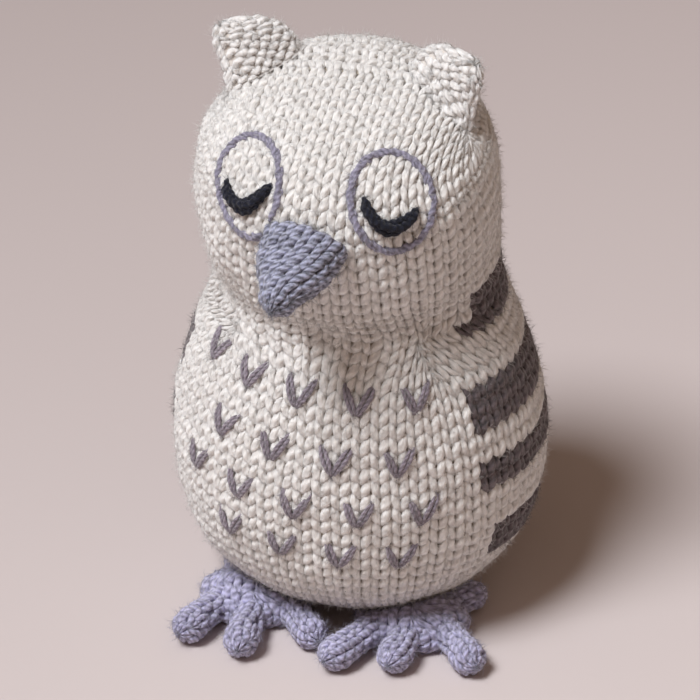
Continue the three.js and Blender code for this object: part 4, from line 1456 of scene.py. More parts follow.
@dataclass
class SmallKnit:
    """A small piece knitted in the round over a surface, with a soft core.

    Attributes:
        surface: Gives the piece's outer surface from places round and along it.
        length: How long the surface is.
        wale: The width of a column of stitches.
        course: The height of a stitch.
        start: Where the knitting starts along the surface.
        stitch: The stitch that it is knitted in.
        ends_at: The place round it, in degrees, where columns end first.
        purl: Says where it is knitted in purl, from the place round it.
        core_depth: How far its core lies under the surface.
        conform: Moves points that lie where they can't.
        keep: Says which stitches show, from their middles.
    """

    surface: SurfacePoint
    length: float
    wale: float
    course: float
    start: float = 0.0
    fewest: int = 4
    ends_at: float | None = None
    stitch: Stitch = KNIT
    purl: PointTest | None = None
    core_depth: float = 1.5
    conform: PointTest | None = None
    keep: PointTest | None = None
    girth_steps: int = 48
    core_rings: int = 14
    core_sides: int = 24
    pole_gap: float = 0.4

    def __post_init__(self) -> None:
        """Works out the courses and columns."""
        self.courses = max(round((self.length - self.start) / self.course), 2)
        runs = np.linspace(self.start, self.length, self.courses + 1)
        turns = np.linspace(-math.pi, math.pi, self.girth_steps + 1)
        girths = [float(run_along(self.surface(turns, np.full(len(turns), run)))[-1]) for run in runs]
        self.most = max(round(max(girths) / self.wale), self.fewest)
        counts = [min(self.most, max(self.fewest, round(girth / self.wale))) for girth in girths]
        first: list[int] = []
        if self.ends_at is not None:
            away = [(column + 0.5) * 360 / self.most - 180 - self.ends_at for column in range(self.most)]
            first = sorted(range(self.most), key=lambda column: abs((away[column] + 180) % 360 - 180))
        live = spread_columns(counts, self.most, first)
        self.wales = Wales(runs, column_edges(live, self.most // 2), live)
        self.fabric = KnittedSkin(self.surface, self.wales, self.conform, self.keep)

    def knit(self, work: YarnWork, seed: int) -> None:
        """Adds the stitches and the core to a piece of work."""
        places = [(column, course) for course in range(self.courses) for column in range(self.most)]
        places = [place for place in places if self.wales.live[place[1], place[0]]]
        columns = np.array(places, float) + 0.5
        turned = np.zeros(len(places), bool)
        if self.purl is not None:
            turned = self.purl(self.wales.places(columns[:, 0], columns[:, 1])[0])
        for stitch, wanted in ((self.stitch, False), (PURL, True)):
            chosen = [place for place, purl in zip(places, turned) if purl == wanted]
            self.fabric.lay(work, stitch, chosen, [Wool.MAIN] * len(chosen), seed)
        end = self.length - self.pole_gap
        self.fabric.line(work, self.start, end, self.core_rings, self.core_sides, self.core_depth, 0.0)


def even_turn(turn: np.ndarray, wide: np.ndarray, high: np.ndarray) -> np.ndarray:
    """Spreads places evenly round an oval that is wide across and high through."""
    return turn + (wide - high) / (2 * (wide + high)) * np.sin(2 * turn)


@dataclass(frozen=True)
class Ear:
    """A plump knitted triangle, sewn on along its base from a front foot to a back foot."""

    name: str
    side: int
    front: tuple[float, float]
    back: tuple[float, float]
    tip_shares: tuple[float, float, float]
    thickness: float = 9.0
    thinning: float = 0.9
    least_thickness_share: float = 0.7
    rise: float = 14.0
    tip_radius: float = 3.8
    tip_gap: float = 0.15
    root_depth: float = 3.5
    fullness: float = 1.9
    gap: float = -0.3
    hidden_depth: float = 1.0
    purl_face: float = 0.3
    top_bulge: float = 2.4

    def build(self, form: OwlForm, finishes: Finishes) -> None:
        """Knits the ear: purl on its front face, plain on its edge and back."""
        between = [(front + back) / 2 for front, back in zip(self.front, self.back)]
        spots = [form.head_spot(self.side * turn, share) for turn, share in (self.front, self.back, between)]
        front, back, out = spots[0][2], spots[1][2], spots[2][3]
        middle = (front + back) / 2
        along = unit(back - front)
        out = unit(out - along * out.dot(along))
        forward = np.cross(along, out) * -self.side
        tip = middle + self.rise * (
            out * self.tip_shares[0] + along * self.tip_shares[1] + forward * self.tip_shares[2]
        )
        height = float(np.linalg.norm(tip - middle))
        up = (tip - middle) / height
        through = unit(np.cross(along, up))
        half_base = float(np.linalg.norm(back - front)) / 2
        length = self.root_depth + height

        def surface(turn: np.ndarray, run: np.ndarray) -> np.ndarray:
            """The ear's outer surface."""
            run = np.minimum(run, length - self.tip_gap)
            share = np.clip((run - self.root_depth) / height, 0.0, 1.0)
            ending = np.clip((run - length + self.tip_radius) / self.tip_radius, 0.0, 1.0)
            rounded = np.sqrt(np.maximum(1 - ending**2, 0.0))
            wide = (half_base + (self.tip_radius - half_base) * share**self.fullness) * rounded
            thick = self.thickness / 2 * np.sqrt(1 - share**2 * self.thinning)
            thick = np.maximum(thick, self.tip_radius * self.least_thickness_share) * rounded
            angle = even_turn(turn, wide, thick)
            bulge = self.top_bulge * np.sin(math.pi * share)
            centre = middle + up * (run - self.root_depth)[..., None] + along * bulge[..., None]
            sideways, inwards = (wide * np.cos(angle))[..., None], (thick * np.sin(angle))[..., None]
            return centre + along * sideways - through * inwards

        work = YarnWork()
        SmallKnit(
            surface, length, wale=3.8, course=2.8, fewest=5, core_depth=1.2,
            purl=lambda turn: np.sin(turn) * self.side > self.purl_face,
            conform=lambda points: form.clear_of_head(points, self.gap),
            keep=lambda points: form.past_head(points) > -self.hidden_depth,
        ).knit(work, SEED + 3 + self.side)
        obj = work.build(f"{self.name}_knit", finishes.of(EAR_PAINTED_LIGHT_YARN, EAR_PAINTED_LIGHT_YARN, EAR_PAINTED_LIGHT_YARN))
        hand_over(obj, OWL, self.name)


EARS = (
    Ear("ear_left", 1, (92.0, 0.853), (140.0, 0.953), (1.0, -0.2, 0.08)),
    Ear("ear_right", -1, (94.5, 0.877), (140.5, 0.939), (1.02, -0.21, -0.26)),
)


@dataclass
class Beak:
    """A plump knitted cone between the eyes, which droops a little to the owl's right."""

    form: OwlForm
    height_share: float = 0.7065
    turn_degrees: float = -0.8
    half_width: float = 10.2
    half_height: float = 6.5
    tip_radius: float = 4.9
    reach: tuple[float, float, float] = (-3.2, -15.5, -8.4)
    root_depth: float = 5.0
    plumpness: float = 3.1
    spiral_degrees: float = 30.0
    knit_start: float = 2.2
    gap: float = 0.4
    hidden_depth: float = 1.2
    tip_gap: float = 0.2

    def __post_init__(self) -> None:
        """Works out the beak's own directions."""
        seat = self.form.head_spot(self.turn_degrees, self.height_share)[2]
        reach = np.array(self.reach)
        self.forward = unit(reach)
        across = np.array([1.0, 0.0, 0.0])
        self.across = unit(across - self.forward * self.forward[0])
        self.upwards = np.cross(self.forward, self.across)
        self.root = seat - self.forward * self.root_depth
        tip = seat + reach - self.forward * self.tip_radius
        self.cone = float(np.linalg.norm(tip - self.root))
        self.length = self.cone + self.tip_radius * math.pi / 2

    def _sizes(self, share: np.ndarray) -> tuple[np.ndarray, np.ndarray]:
        """The half width and half height at a share of the cone."""
        taper = 1 - np.clip(share, 0.0, 1.0) ** self.plumpness
        wide = self.tip_radius + (self.half_width - self.tip_radius) * taper
        high = self.tip_radius + (self.half_height - self.tip_radius) * taper
        return wide, high

    def surface(self, turn: np.ndarray, run: np.ndarray) -> np.ndarray:
        """The beak's outer surface."""
        run = np.minimum(run, self.length - self.tip_gap)
        wide, high = self._sizes(run / self.cone)
        ending = np.maximum(run - self.cone, 0.0) / self.tip_radius
        ahead = np.minimum(run, self.cone) + np.sin(ending) * self.tip_radius
        turn = turn + math.radians(self.spiral_degrees) * run / self.length
        angle = even_turn(turn, wide, high)
        wide, high = wide * np.cos(ending), high * np.cos(ending)
        across, upwards = (wide * np.cos(angle))[..., None], (high * np.sin(angle))[..., None]
        return self.root + self.forward * ahead[..., None] + self.across * across + self.upwards * upwards

    def holds(self, points: np.ndarray, gap: float) -> np.ndarray:
        """Whether points lie in the beak or within a gap of it."""
        away = points - self.root
        wide, high = self._sizes(away @ self.forward / self.cone)
        return ((away @ self.across) / (wide + gap)) ** 2 + ((away @ self.upwards) / (high + gap)) ** 2 < 1

    def build(self, finishes: Finishes) -> None:
        """Knits the beak."""
        work = YarnWork()
        SmallKnit(
            self.surface, self.length, wale=4.8, course=3.6, start=self.knit_start, fewest=7, ends_at=-90.0,
            conform=lambda points: self.form.clear_of_head(points, self.gap),
            keep=lambda points: self.form.past_head(points) > -self.hidden_depth,
        ).knit(work, SEED + 8)
        obj = work.build("beak_knit", finishes.of(BEAK_YARN, BEAK_YARN, GREY_LINING_PAINTED_SHADE_YARN))
        hand_over(obj, OWL, "beak")


# Embroidery


@dataclass(frozen=True)
class YarnStrand:
    """A plied strand of yarn laid on the knitting: its sizes in millimetres."""

    radius: float = 0.9
    plies: int = 2
    ply_share: float = 0.17
    twist_pitch: float = 4.4
    sides: int = 10
    ring_pitch: float = 0.55
    fewest_spans: int = 6
    flatten: float = 0.85
    end_lift: float = 0.35
    size_lift: float = 0.4
    ply_lift: float = 0.25
    fuzz: Fuzz = Fuzz(shortest=0.6, longest=1.7)
    fibres_per_mm: float = 9.0

    def lay(self, work: YarnWork, path: np.ndarray, normals: np.ndarray, sizes: np.ndarray, tone: float,
            turn: float) -> None:
        """Lays the strand along a path.

        Args:
            work: Gets the strand.
            path: Points along the strand's middle.
            normals: The fabric's outward directions there.
            sizes: Shares of the strand's radius there.
            tone: The strand's small shade difference.
            turn: Turns the plies round, in radians.
        """
        runs = run_along(path)
        length = float(runs[-1])
        even = np.linspace(0.0, length, max(int(length / self.ring_pitch), self.fewest_spans) + 1)
        middle, out = at_runs(even, runs, path), at_runs(even, runs, normals)
        size = np.interp(even, runs, sizes)
        angle = 2 * math.pi * np.arange(self.sides) / self.sides
        twists = 1 / self.twist_pitch
        lobes = np.cos(self.plies * (angle[None, :] - 2 * math.pi * twists * even[:, None]) + turn)
        reach = self.radius * size[:, None] * (1 - self.ply_share + self.ply_share * lobes)
        points = tube_points(middle, out, reach, self.sides, self.flatten)
        corners, face_sizes, uv = tube_faces(len(even), self.sides)
        # Painted shade: the lift, and so the colour, falls at the strand's thin ends and in the grooves
        # between its plies.
        lift = np.repeat(self.end_lift + self.size_lift * np.clip(size, 0, 1), self.sides)
        work.add(
            points, corners, face_sizes, uv * (1.0, length), lift + self.ply_lift * lobes.ravel(),
            np.full(len(points), tone), np.full(len(face_sizes), Wool.MAIN.value),
        )
        random = np.random.default_rng(round(tone * 1000))
        outwards = unit(points - np.repeat(middle, self.sides, axis=0))
        picks = random.integers(0, len(points), round(length * self.fibres_per_mm))
        picks = picks[(outwards * np.repeat(out, self.sides, axis=0)).sum(axis=1)[picks] > 0]
        self.fuzz.grow(
            work, points[picks], outwards[picks], np.full(len(picks), tone),
            np.full(len(picks), Wool.MAIN.value), random,
        )


EYE_STRAND = YarnStrand(radius=0.88, twist_pitch=5.2)
LID_STRAND = YarnStrand(radius=1.1, twist_pitch=4.0, ply_share=0.16, ring_pitch=0.4)
FEATHER_STRAND = YarnStrand(radius=0.6, twist_pitch=4.6, ply_share=0.12, ring_pitch=0.5)


@dataclass(frozen=True)
class Eye:
    """A closed eye: a ring of yarn and a dark lid, with shares of the ring's size."""

    name: str
    side: int
    azimuth_degrees: float
    head_height_share: float
    ring_turn_degrees: float
    ring_shares: tuple[float, float]
    lid_shares: tuple[float, float]


EYES = (
    Eye("left", 1, 37.2, 0.85, 2.0, (0.826, 0.974), (-0.035, -0.043)),
    Eye("right", -1, 33.0, 0.855, 33.0, (0.739, 1.026), (0.022, -0.004)),
)


@dataclass(frozen=True)
class FeatherRow:
    """A row of V stitches on the breast."""

    height_share: float
    columns: int
    pitch_degrees: float
    turn_degrees: float


FEATHER_ROWS = (
    FeatherRow(0.831, 5, 20.5, -5.5),
    FeatherRow(0.655, 4, 20.0, -2.5),
    FeatherRow(0.494, 5, 19.3, -4.5),
    FeatherRow(0.343, 4, 18.3, 0.0),
)


@dataclass
class Embroidery:
    """The yarn sewn on the face and the breast."""

    skin: OwlSkin
    beak: Beak
    ring_size: float = 23.0
    ring_stitches: int = 15
    ring_steps: int = 13
    ring_behind: float = 0.35
    ring_cover: float = 1.75
    ring_slant: float = 0.55
    ring_float: float = 0.25
    ring_arch: float = 0.55
    ring_sink: float = 0.9
    ring_sizes: tuple[float, float] = (0.6, 0.4)
    beak_gaps: tuple[float, float] = (0.6, 0.2)
    fewest_steps: int = 6
    lid_width: float = 12.6
    lid_drop: float = 4.8
    lid_turn_degrees: float = 17.0
    lid_steps: int = 30
    lid_wave: float = 4.2
    lid_strands: tuple[tuple[float, float, float], ...] = (
        (0.8, 0.25, 0.55), (-0.8, -0.25, 0.55), (0.0, 0.3, 1.3),
    )
    lid_sink: float = 0.5
    lid_sizes: tuple[float, float] = (0.45, 0.55)
    feather_width: float = 7.0
    feather_height: float = 7.9
    feather_width_spread: float = 0.12
    feather_height_spread: float = 0.1
    feather_row_fall: float = 2.6
    feather_skew: float = 0.9
    feather_strands_apart: float = 1.15
    feather_lifts: tuple[float, float] = (-0.85, 1.05)
    feather_sizes: tuple[float, float] = (0.35, 0.65)
    feather_steps: int = 14
    swell_power: float = 0.6
    search_steps: int = 6

    def _seat(self, azimuth: np.ndarray, run: np.ndarray) -> tuple[np.ndarray, np.ndarray]:
        """Points of the knitting and its outward normals."""
        return self.skin.seat(azimuth, run), normals_of(self.skin.seat, azimuth, run)

    def _on_eye(self, eye: Eye, sideways: np.ndarray, upwards: np.ndarray) -> tuple[np.ndarray, np.ndarray]:
        """Points that lie sideways and upwards from an eye's middle, as seen square on."""
        form = self.skin.form
        azimuth, run, middle, normal = form.head_spot(eye.side * eye.azimuth_degrees, eye.head_height_share)
        across = unit(np.cross(np.array([0.0, 0.0, 1.0]), normal))
        rise = np.cross(normal, across)
        azimuth = np.full(len(sideways), azimuth[0])
        run = np.full(len(sideways), run[0])
        for _ in range(self.search_steps):
            offset = form.skin_point(azimuth, run) - middle
            radius = np.array([form.radius_at(place) for place in run])
            azimuth = azimuth + (sideways - offset @ across) / radius
            run = run + upwards - offset @ rise
        return self._seat(azimuth, run)

    def _ring(self, eye: Eye, finishes: Finishes) -> None:
        """Sews the ring round an eye in stem stitch: each stitch starts beside the one before it."""
        turn = eye.side * math.radians(eye.ring_turn_degrees)
        end_size, swell = self.ring_sizes
        near, touching = self.beak_gaps
        work = YarnWork()
        span = 2 * math.pi / self.ring_stitches
        for stitch in range(self.ring_stitches):
            share = np.linspace(0.0, 1.0, self.ring_steps)
            angle = (stitch - self.ring_behind + self.ring_cover * share) * span
            beside = self.ring_slant * (share - 0.5) * 2
            wide, high = (self.ring_size * part / 2 + beside for part in eye.ring_shares)
            places = turn_flat(wide * np.cos(angle), high * np.sin(angle), -turn)
            points, normals = self._on_eye(eye, *places)
            if self.beak.holds(points, near).any():
                clear = ~self.beak.holds(points, touching)
                if clear.sum() < self.fewest_steps:
                    continue
                points, normals, share = points[clear], normals[clear], np.linspace(0.0, 1.0, clear.sum())
            arch = np.sin(math.pi * share)
            lifted = points + normals * (self.ring_float + self.ring_arch * arch - self.ring_sink)[:, None]
            sizes = end_size + swell * arch**self.swell_power
            EYE_STRAND.lay(work, lifted, normals, sizes, (stitch * 0.37) % 1.0, stitch * 1.3)
        name = f"eye_ring_{eye.name}"
        hand_over(work.build(f"{name}_yarn", finishes.of(RING_YARN)), OWL, name)

    def _lid(self, eye: Eye, finishes: Finishes) -> None:
        """Sews the dark arc of a closed eye with three strands that cross."""
        turn = -eye.side * math.radians(self.lid_turn_degrees)
        right, above = (self.ring_size * part for part in eye.lid_shares)
        end_size, swell = self.lid_sizes
        work = YarnWork()
        share = np.linspace(-1.0, 1.0, self.lid_steps + 1)
        sideways = share * self.lid_width / 2
        ends = np.sqrt(np.maximum(1 - np.abs(share) ** 6, 0.0))
        for strand, (shift, crossing, height) in enumerate(self.lid_strands):
            wave = crossing * np.sin(share * self.lid_wave + strand)
            upwards = -self.lid_drop * (1 - share**2) + shift + wave
            points, normals = self._on_eye(
                eye, right + sideways * math.cos(turn) - upwards * math.sin(turn),
                above + sideways * math.sin(turn) + upwards * math.cos(turn),
            )
            lifted = points + normals * (height * ends - self.lid_sink * (1 - ends))[:, None]
            LID_STRAND.lay(
                work, lifted, normals, end_size + swell * ends, 0.2 + 0.3 * strand, strand * 2.0,
            )
        name = f"closed_eye_{eye.name}"
        hand_over(work.build(f"{name}_yarn", finishes.of(NAVY_YARN)), OWL, name)

    def _feather(self, row: FeatherRow, column: int, name: str, finishes: Finishes, number: int) -> None:
        """Sews one V: two strands up each of its legs."""
        form = self.skin.form
        place = column - (row.columns - 1) / 2
        turn = math.radians(row.turn_degrees + place * row.pitch_degrees)
        tip = row.height_share * form.body_height - place / (row.columns - 1) * self.feather_row_fall
        tip_run = form.body_run_of(tip)
        low, arched = self.feather_lifts
        end_size, swell = self.feather_sizes
        work = YarnWork()
        share = np.linspace(0.0, 1.0, self.feather_steps + 1)
        parting = 0.05 + 0.95 * np.sin(math.pi * np.clip(share * 0.85 + 0.05, 0, 1))
        arch = np.sin(math.pi * share) ** self.swell_power
        sizes = end_size + swell * arch
        random = np.random.default_rng(SEED + number)
        for leg, strand in ((-1, 0), (-1, 1), (1, 0), (1, 1)):
            width = self.feather_width / 2 * (1 + self.feather_width_spread * (random.random() - 0.5))
            height = self.feather_height * (1 + self.feather_height_spread * (random.random() - 0.5))
            apart = (strand - 0.5) * self.feather_strands_apart * parting
            run = tip_run + share * height
            radius = np.array([form.radius_at(spot) for spot in run])
            azimuth = turn + (leg * share * width + apart - self.feather_skew * (1 - share)) / radius
            points, normals = self._seat(azimuth, run)
            lifted = points + normals * (low + arched * arch)[:, None]
            FEATHER_STRAND.lay(work, lifted, normals, sizes, random.random(), random.random() * 6)
        hand_over(work.build(f"{name}_yarn", finishes.of(FEATHER_YARN)), OWL, name)

    def build(self, finishes: Finishes) -> None:
        """Sews the eyes and the feathers."""
        for eye in EYES:
            self._ring(eye, finishes)
            self._lid(eye, finishes)
        number = 0
        for line, row in enumerate(FEATHER_ROWS):
            for column in range(row.columns):
                number += 1
                self._feather(row, column, f"feather_{line + 1}_{column + 1}", finishes, number)


# Feet


@dataclass(frozen=True)
class Toe:
    """A knitted toe: which side its root lies on, where it points and how far it reaches."""

    name: str
    sideways_share: float
    splay_degrees: float
    reach_share: float


FEET = {
    1: (
        Toe("outer_toe", 1.0, 41.5, 1.0),
        Toe("middle_toe", 0.0, -10.0, 0.8),
        Toe("inner_toe", -1.0, -44.0, 1.12),
        Toe("rear_toe", 1.0, 122.0, 0.75),
    ),
    -1: (
        Toe("outer_toe", 1.0, 41.5, 1.0),
        Toe("middle_toe", 0.0, 4.0, 0.97),
        Toe("inner_toe", -1.0, -42.0, 1.0),
        Toe("rear_toe", 0.6, 150.0, 0.52),
    ),
}


@dataclass
class Foot:
    """A knitted pad under the belly's front edge, with four knitted toes."""

    form: OwlForm
    side: int
    toes: tuple[Toe, ...]
    sideways: float = 19.5
    forward_share: float = 0.552
    turn_degrees: float = 10.0
    half_width: float = 14.3
    front: float = 13.0
    rear: float = 4.5
    profile: tuple[tuple[float, float], ...] = (
        (0.0, 0.0), (0.86, 0.0), (0.97, 1.4), (1.0, 4.0), (0.88, 7.0), (0.62, 9.0), (0.3, 9.85), (0.0, 10.0),
    )
    toe_radius: float = 4.45
    rear_toe_radius: float = 3.8
    waist_share: float = 0.9
    toe_height: float = 4.2
    root_sideways: float = 7.2
    root_forward: float = 4.5
    middle_root_forward: float = 6.0
    toe_reach: float = 21.8
    gap: float = 0.4
    hidden_depth: float = 1.2
    pad_share: float = 0.12
    pole_gap: float = 0.3
    tip_gap: float = 0.25
    height_step: float = 1e-6

    def __post_init__(self) -> None:
        """Names the foot and works out its pad's profile."""
        self.name = "left" if self.side > 0 else "right"
        self.turn = math.radians(self.turn_degrees)
        self.ahead = self.forward_share * self.form.body_radius
        self.line = np.array(self.profile)
        middle = (self.front + self.rear) / 2
        widths = np.diff(self.line[:, 0]) * (self.half_width + middle) / 2
        self.runs = np.concatenate([[0.0], np.cumsum(np.hypot(widths, np.diff(self.line[:, 1])))])

    def _placed(self, points: np.ndarray) -> np.ndarray:
        """Moves points from the foot's own frame to their place under the owl."""
        across, ahead = turn_flat(points[..., 0] * self.side, points[..., 1], self.turn)
        return np.stack([across + self.side * self.sideways, ahead - self.ahead, points[..., 2]], axis=-1)

    def _pad(self, turn: np.ndarray, run: np.ndarray) -> np.ndarray:
        """The pad's outer surface, from the middle of its sole to the middle of its top."""
        run = np.clip(run, self.pole_gap, self.runs[-1] - self.pole_gap)
        turn = turn * self.side
        share = np.interp(run, self.runs, self.line[:, 0])
        height = np.interp(run, self.runs, self.line[:, 1])
        ahead = np.cos(turn)
        reach = np.where(ahead > 0, self.front, self.rear)
        return self._placed(
            np.stack([self.half_width * share * np.sin(turn), -reach * share * ahead, height], axis=-1)
        )

    def _in_pad(self, points: np.ndarray) -> np.ndarray:
        """How far level points lie inside the pad, as a share of its outline there, below 0 outside."""
        across, ahead = points[:, 0] - self.side * self.sideways, points[:, 1] + self.ahead
        across, ahead = turn_flat(across, ahead, -self.turn)
        heights = self.line[1:, 1] + np.arange(len(self.line) - 1) * self.height_step
        share = np.interp(points[:, 2], heights, self.line[1:, 0])
        return share - np.hypot(across / self.half_width, ahead / np.where(ahead < 0, self.front, self.rear))

    def _settled(self, points: np.ndarray) -> np.ndarray:
        """Presses points off the belly and onto the floor."""
        return above_floor(self.form.clear_of_body(points, self.gap))

    def _below_body(self, points: np.ndarray) -> np.ndarray:
        """Whether points lie where the body doesn't hide them."""
        return self.form.past_body(points) > -self.hidden_depth

    def _finish(self, piece: SmallKnit, node: str, seed: int, finishes: Finishes) -> None:
        """Knits a piece of the foot and says what it stands for."""
        work = YarnWork()
        piece.knit(work, seed)
        obj = work.build(f"{node}_knit", finishes.of(GREY_YARN, GREY_YARN, GREY_LINING_PAINTED_SHADE_YARN))
        hand_over(obj, f"foot_{self.name}", node)

    def _toe(self, toe: Toe) -> SmallKnit:
        """Plans one toe."""
        rear = toe.name == "rear_toe"
        ahead = self.middle_root_forward if toe.sideways_share == 0 else self.root_forward
        start = self.rear / 2 if rear else -ahead
        root = np.array([toe.sideways_share * self.root_sideways, start, self.toe_height])
        splay, reach = math.radians(toe.splay_degrees), toe.reach_share * self.toe_reach
        tip = np.array([reach * math.sin(splay), -reach * math.cos(splay), self.toe_height])
        full = self.rear_toe_radius if rear else self.toe_radius
        forward = unit(tip - root)
        straight = float(np.linalg.norm(tip - root))
        across = unit(np.cross([0.0, 0.0, 1.0], forward))
        upwards = np.cross(forward, across)
        length = straight + full * math.pi / 2

        def surface(turn: np.ndarray, run: np.ndarray) -> np.ndarray:
            """The toe's outer surface."""
            run = np.minimum(run, length - self.tip_gap)
            turn = turn * self.side
            ending = np.maximum(run - straight, 0.0) / full
            size = full * (self.waist_share + (1 - self.waist_share) * ease(run, straight / 2, straight))
            size = size * np.cos(ending)
            centre = root + forward * (np.minimum(run, straight) + np.sin(ending) * full)[..., None]
            ring = across * (size * np.cos(turn))[..., None] + upwards * (size * np.sin(turn))[..., None]
            return self._placed(centre + ring)

        return SmallKnit(
            surface, length, wale=4.6, course=3.5, fewest=5, core_depth=1.0, core_sides=16, stitch=SNUG_KNIT,
            conform=self._settled,
            keep=lambda points: self._below_body(points) & (self._in_pad(points) < self.pad_share),
        )

    def build(self, finishes: Finishes) -> None:
        """Knits the pad and the toes."""
        pad = SmallKnit(
            self._pad, float(self.runs[-1]), wale=4.6, course=3.6, start=0.6, fewest=5, core_depth=1.1,
            stitch=SNUG_KNIT, conform=self._settled, keep=self._below_body,
        )
        self._finish(pad, f"foot_pad_{self.name}", SEED + 30 + self.side, finishes)
        for number, toe in enumerate(self.toes):
            seed = SEED + 40 + number + 5 * self.side
            self._finish(self._toe(toe), f"{toe.name}_{self.name}", seed, finishes)


# Inside


@dataclass
class Stuffing:
    """The wads of fibre in the body and the head."""

    nodes: tuple[str, ...] = ("body_stuffing_lower", "body_stuffing_upper", "head_stuffing")
    lump_depth: float = 0.8
    lump_climbs: tuple[float, ...] = (0.41, 0.23, 0.37, 0.31, 0.29, 0.13)
    merge_distance: float = 0.01
    dent_depth: float = 5.0
    dent_width: float = 9.0
    dent_height: float = 14.0
    neck_height: float = 83.0

    def _moved(self, place: Vector, normal: Vector) -> Vector:
        """Where a point of a wad goes: into soft lumps, and back from the hollow under the beak."""
        x, y, z = (value / MM for value in place)
        one, two, three, four, five, six = self.lump_climbs
        swell = math.sin(x * one + z * two) * math.sin(y * three - z * four) * math.sin(z * five + x * six)
        moved = place - normal * self.lump_depth * MM * (0.5 + 0.5 * swell)
        if y < 0:
            near = math.exp(-((x / self.dent_width) ** 2) - ((z - self.neck_height) / self.dent_height) ** 2)
            moved.y += self.dent_depth * near * MM
        return moved

    def build(self, finishes: Finishes) -> None:
        """Makes each wad soft and lumpy inside the space that its solid holds."""
        for name in self.nodes:
            source = frame["nodes"][name]
            shape = bmesh.new()
            shape.from_mesh(source.data)
            bmesh.ops.transform(shape, matrix=source.matrix_world, verts=shape.verts)
            bmesh.ops.remove_doubles(shape, verts=shape.verts, dist=self.merge_distance * MM)
            bmesh.ops.subdivide_edges(shape, edges=shape.edges, cuts=2, use_grid_fill=True)
            bmesh.ops.recalc_face_normals(shape, faces=shape.faces)
            shape.normal_update()
            for vert in shape.verts:
                vert.co = self._moved(vert.co, vert.normal)
            for face in shape.faces:
                face.smooth = True
            mesh = bpy.data.meshes.new(f"{name}_fibre")
            shape.to_mesh(mesh)
            shape.free()
            mesh.materials.append(finishes.of(FILL)[0])
            hand_over(add_object(f"{name}_fibre", mesh), OWL, name)


def dress_rattle(finishes: Finishes) -> None:
    """Gives the rattle ball and its beads their plastics."""
    for name, node in frame["nodes"].items():
        if name.startswith(("rattle_shell", "bead")):
            plastic = BALL_PLASTIC if name.startswith("rattle") else BEAD_PLASTIC
            for slot in node.material_slots:
                slot.material = finishes.of(plastic)[0]


# Camera, light and floor


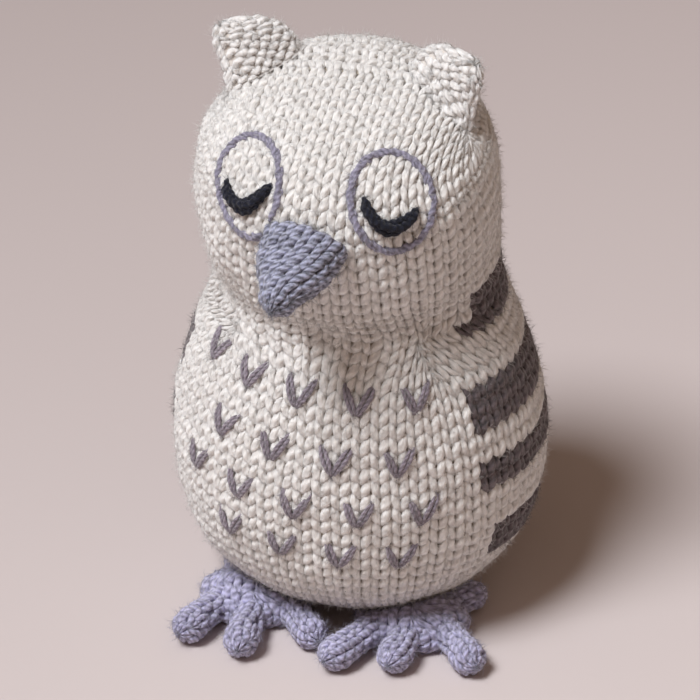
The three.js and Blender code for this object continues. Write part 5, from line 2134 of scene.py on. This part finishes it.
@dataclass
class Studio:
    """The camera at the photograph's angle, soft light from the owl's right and a pale floor."""

    distance: float = 850.0
    elevation_degrees: float = 32.0
    azimuth_degrees: float = 15.0
    aim_height: float = 65.0
    lens: float = 183.2
    shift_x: float = -0.0161
    shift_y: float = -0.022
    key_turn_degrees: float = -53.0
    key_rise_degrees: float = 61.0
    key_distance: float = 3000.0
    key_size: float = 1050.0
    key_watts: float = 97.0
    key_colour: tuple[float, float, float] = (0.965, 1.0, 1.045)
    fill_behind: float = 0.1
    fill_before: float = 0.29
    fill_colour: tuple[float, float, float, float] = (1.0, 0.72, 0.54, 1.0)
    backdrop: str = "#B9ACA9"
    floor_near: str = "#CDC2C0"
    floor_far_painted_shade: str = "#AFA3A1"
    floor_near_place: float = -80.0
    floor_far_place: float = 420.0
    floor_half_width: float = 140.0
    floor_left_painted_shade_share: float = 0.95
    floor_right_painted_light_share: float = 1.07
    floor_reach: float = 1250.0
    floor_sides: int = 96

    def _direction(self, azimuth: float, elevation: float) -> Vector:
        """The way from the owl to a place at an azimuth and elevation in degrees."""
        turn, rise = math.radians(azimuth), math.radians(elevation)
        return Vector((math.sin(turn) * math.cos(rise), -math.cos(turn) * math.cos(rise), math.sin(rise)))

    def _aim(self, obj: bpy.types.Object, way: Vector, distance: float) -> None:
        """Puts a camera or lamp a distance along the way from the owl and points it back."""
        obj.location = Vector((0, 0, self.aim_height * MM)) + way * distance * MM
        obj.rotation_euler = way.to_track_quat("Z", "Y").to_euler()

    def _camera(self) -> None:
        """Adds the camera."""
        data = bpy.data.cameras.new("camera")
        data.lens = self.lens
        data.shift_x = self.shift_x
        data.shift_y = self.shift_y
        camera = add_object("camera", data)
        self._aim(camera, self._direction(self.azimuth_degrees, self.elevation_degrees), self.distance)
        bpy.context.scene.camera = camera

    def _key(self) -> None:
        """Adds the large soft lamp."""
        data = bpy.data.lights.new("window_light", "AREA")
        data.shape = "DISK"
        data.size = self.key_size * MM
        data.energy = self.key_watts
        data.color = self.key_colour
        towards = self._direction(self.azimuth_degrees + self.key_turn_degrees, self.key_rise_degrees)
        self._aim(add_object("window_light", data), towards, self.key_distance)

    def _world(self) -> None:
        """Fills the shadows, more from the camera's side, and shows a pale backdrop."""
        world = bpy.data.worlds.new("studio")
        bpy.context.scene.world = world
        tree = empty_tree(world)
        way = add_node(tree, "ShaderNodeTexCoord")
        before = add_node(
            tree, "ShaderNodeVectorMath", {"operation": "DOT_PRODUCT"},
            i0=way.outputs["Generated"], i1=self._direction(self.azimuth_degrees, self.elevation_degrees),
        )
        level = add_node(
            tree, "ShaderNodeMapRange", Value=before.outputs["Value"], From_Min=-1.0, From_Max=1.0,
            To_Min=self.fill_behind, To_Max=self.fill_before,
        )
        fill = add_node(
            tree, "ShaderNodeBackground", Color=self.fill_colour, Strength=level.outputs["Result"],
        )
        shown = add_node(tree, "ShaderNodeBackground", Color=linear(self.backdrop), Strength=1.0)
        rays = add_node(tree, "ShaderNodeLightPath")
        seen = rays.outputs["Is Camera Ray"]
        for kind in ("Is Glossy Ray", "Is Transmission Ray"):
            seen = add_node(
                tree, "ShaderNodeMath", {"operation": "ADD", "use_clamp": True},
                i0=seen, i1=rays.outputs[kind],
            ).outputs[0]
        mixed = add_node(tree, "ShaderNodeMixShader", i0=seen, i1=fill.outputs[0], i2=shown.outputs[0])
        add_node(tree, "ShaderNodeOutputWorld", Surface=mixed.outputs[0])

    def _floor(self) -> None:
        """Adds the matt paper floor, with painted shade that darkens it far away and on the left, and painted
        light on the right.
        """
        deselect_all()
        bpy.ops.mesh.primitive_circle_add(
            vertices=self.floor_sides, radius=self.floor_reach * MM, fill_type="NGON",
        )
        floor = bpy.context.object
        floor.name = "paper_floor"
        material = bpy.data.materials.new("seamless_paper_painted_shade")
        tree = empty_tree(material)
        place = add_node(tree, "ShaderNodeTexCoord")
        turned = add_node(
            tree, "ShaderNodeMapping", Vector=place.outputs["Object"],
            Rotation=(0.0, 0.0, -math.radians(self.azimuth_degrees)),
        )
        apart = add_node(tree, "ShaderNodeSeparateXYZ", Vector=turned.outputs[0])
        # Painted shade: the paper darkens away from the camera.
        depth = add_node(
            tree, "ShaderNodeMapRange", Value=apart.outputs["Y"],
            From_Min=self.floor_near_place * MM, From_Max=self.floor_far_place * MM,
        )
        far_painted_shade = add_node(
            tree, "ShaderNodeMix", {"data_type": "RGBA"},
            i0=depth.outputs["Result"], i6=linear(self.floor_near), i7=linear(self.floor_far_painted_shade),
        )
        # Painted shade on the left and painted light on the right, evening out the lamp's falloff.
        sideways = add_node(
            tree, "ShaderNodeMapRange", Value=apart.outputs["X"],
            From_Min=-self.floor_half_width * MM, From_Max=self.floor_half_width * MM,
            To_Min=self.floor_left_painted_shade_share, To_Max=self.floor_right_painted_light_share,
        )
        lit = add_node(
            tree, "ShaderNodeHueSaturation", Color=far_painted_shade.outputs[2], Value=sideways.outputs["Result"],
        )
        shader = add_node(
            tree, "ShaderNodeBsdfPrincipled", Base_Color=lit.outputs[0], Roughness=0.95,
            Specular_IOR_Level=0.1,
        )
        add_node(tree, "ShaderNodeOutputMaterial", Surface=shader.outputs[0])
        floor.data.materials.append(material)

    def build(self) -> None:
        """Sets up the studio."""
        bpy.context.scene.view_settings.view_transform = "Standard"
        self._camera()
        self._key()
        self._world()
        self._floor()


def main() -> None:
    """Builds the owl."""
    logging.basicConfig(level=logging.INFO, format="%(message)s")
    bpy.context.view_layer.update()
    deselect_all()
    Studio().build()
    finishes = Finishes()
    form = OwlForm()
    skin = OwlSkin(form)
    skin.build(finishes)
    for ear in EARS:
        ear.build(form, finishes)
    beak = Beak(form)
    beak.build(finishes)
    Embroidery(skin, beak).build(finishes)
    for side, toes in FEET.items():
        Foot(form, side, toes).build(finishes)
    Stuffing().build(finishes)
    dress_rattle(finishes)


if __name__ == "__main__":
    main()
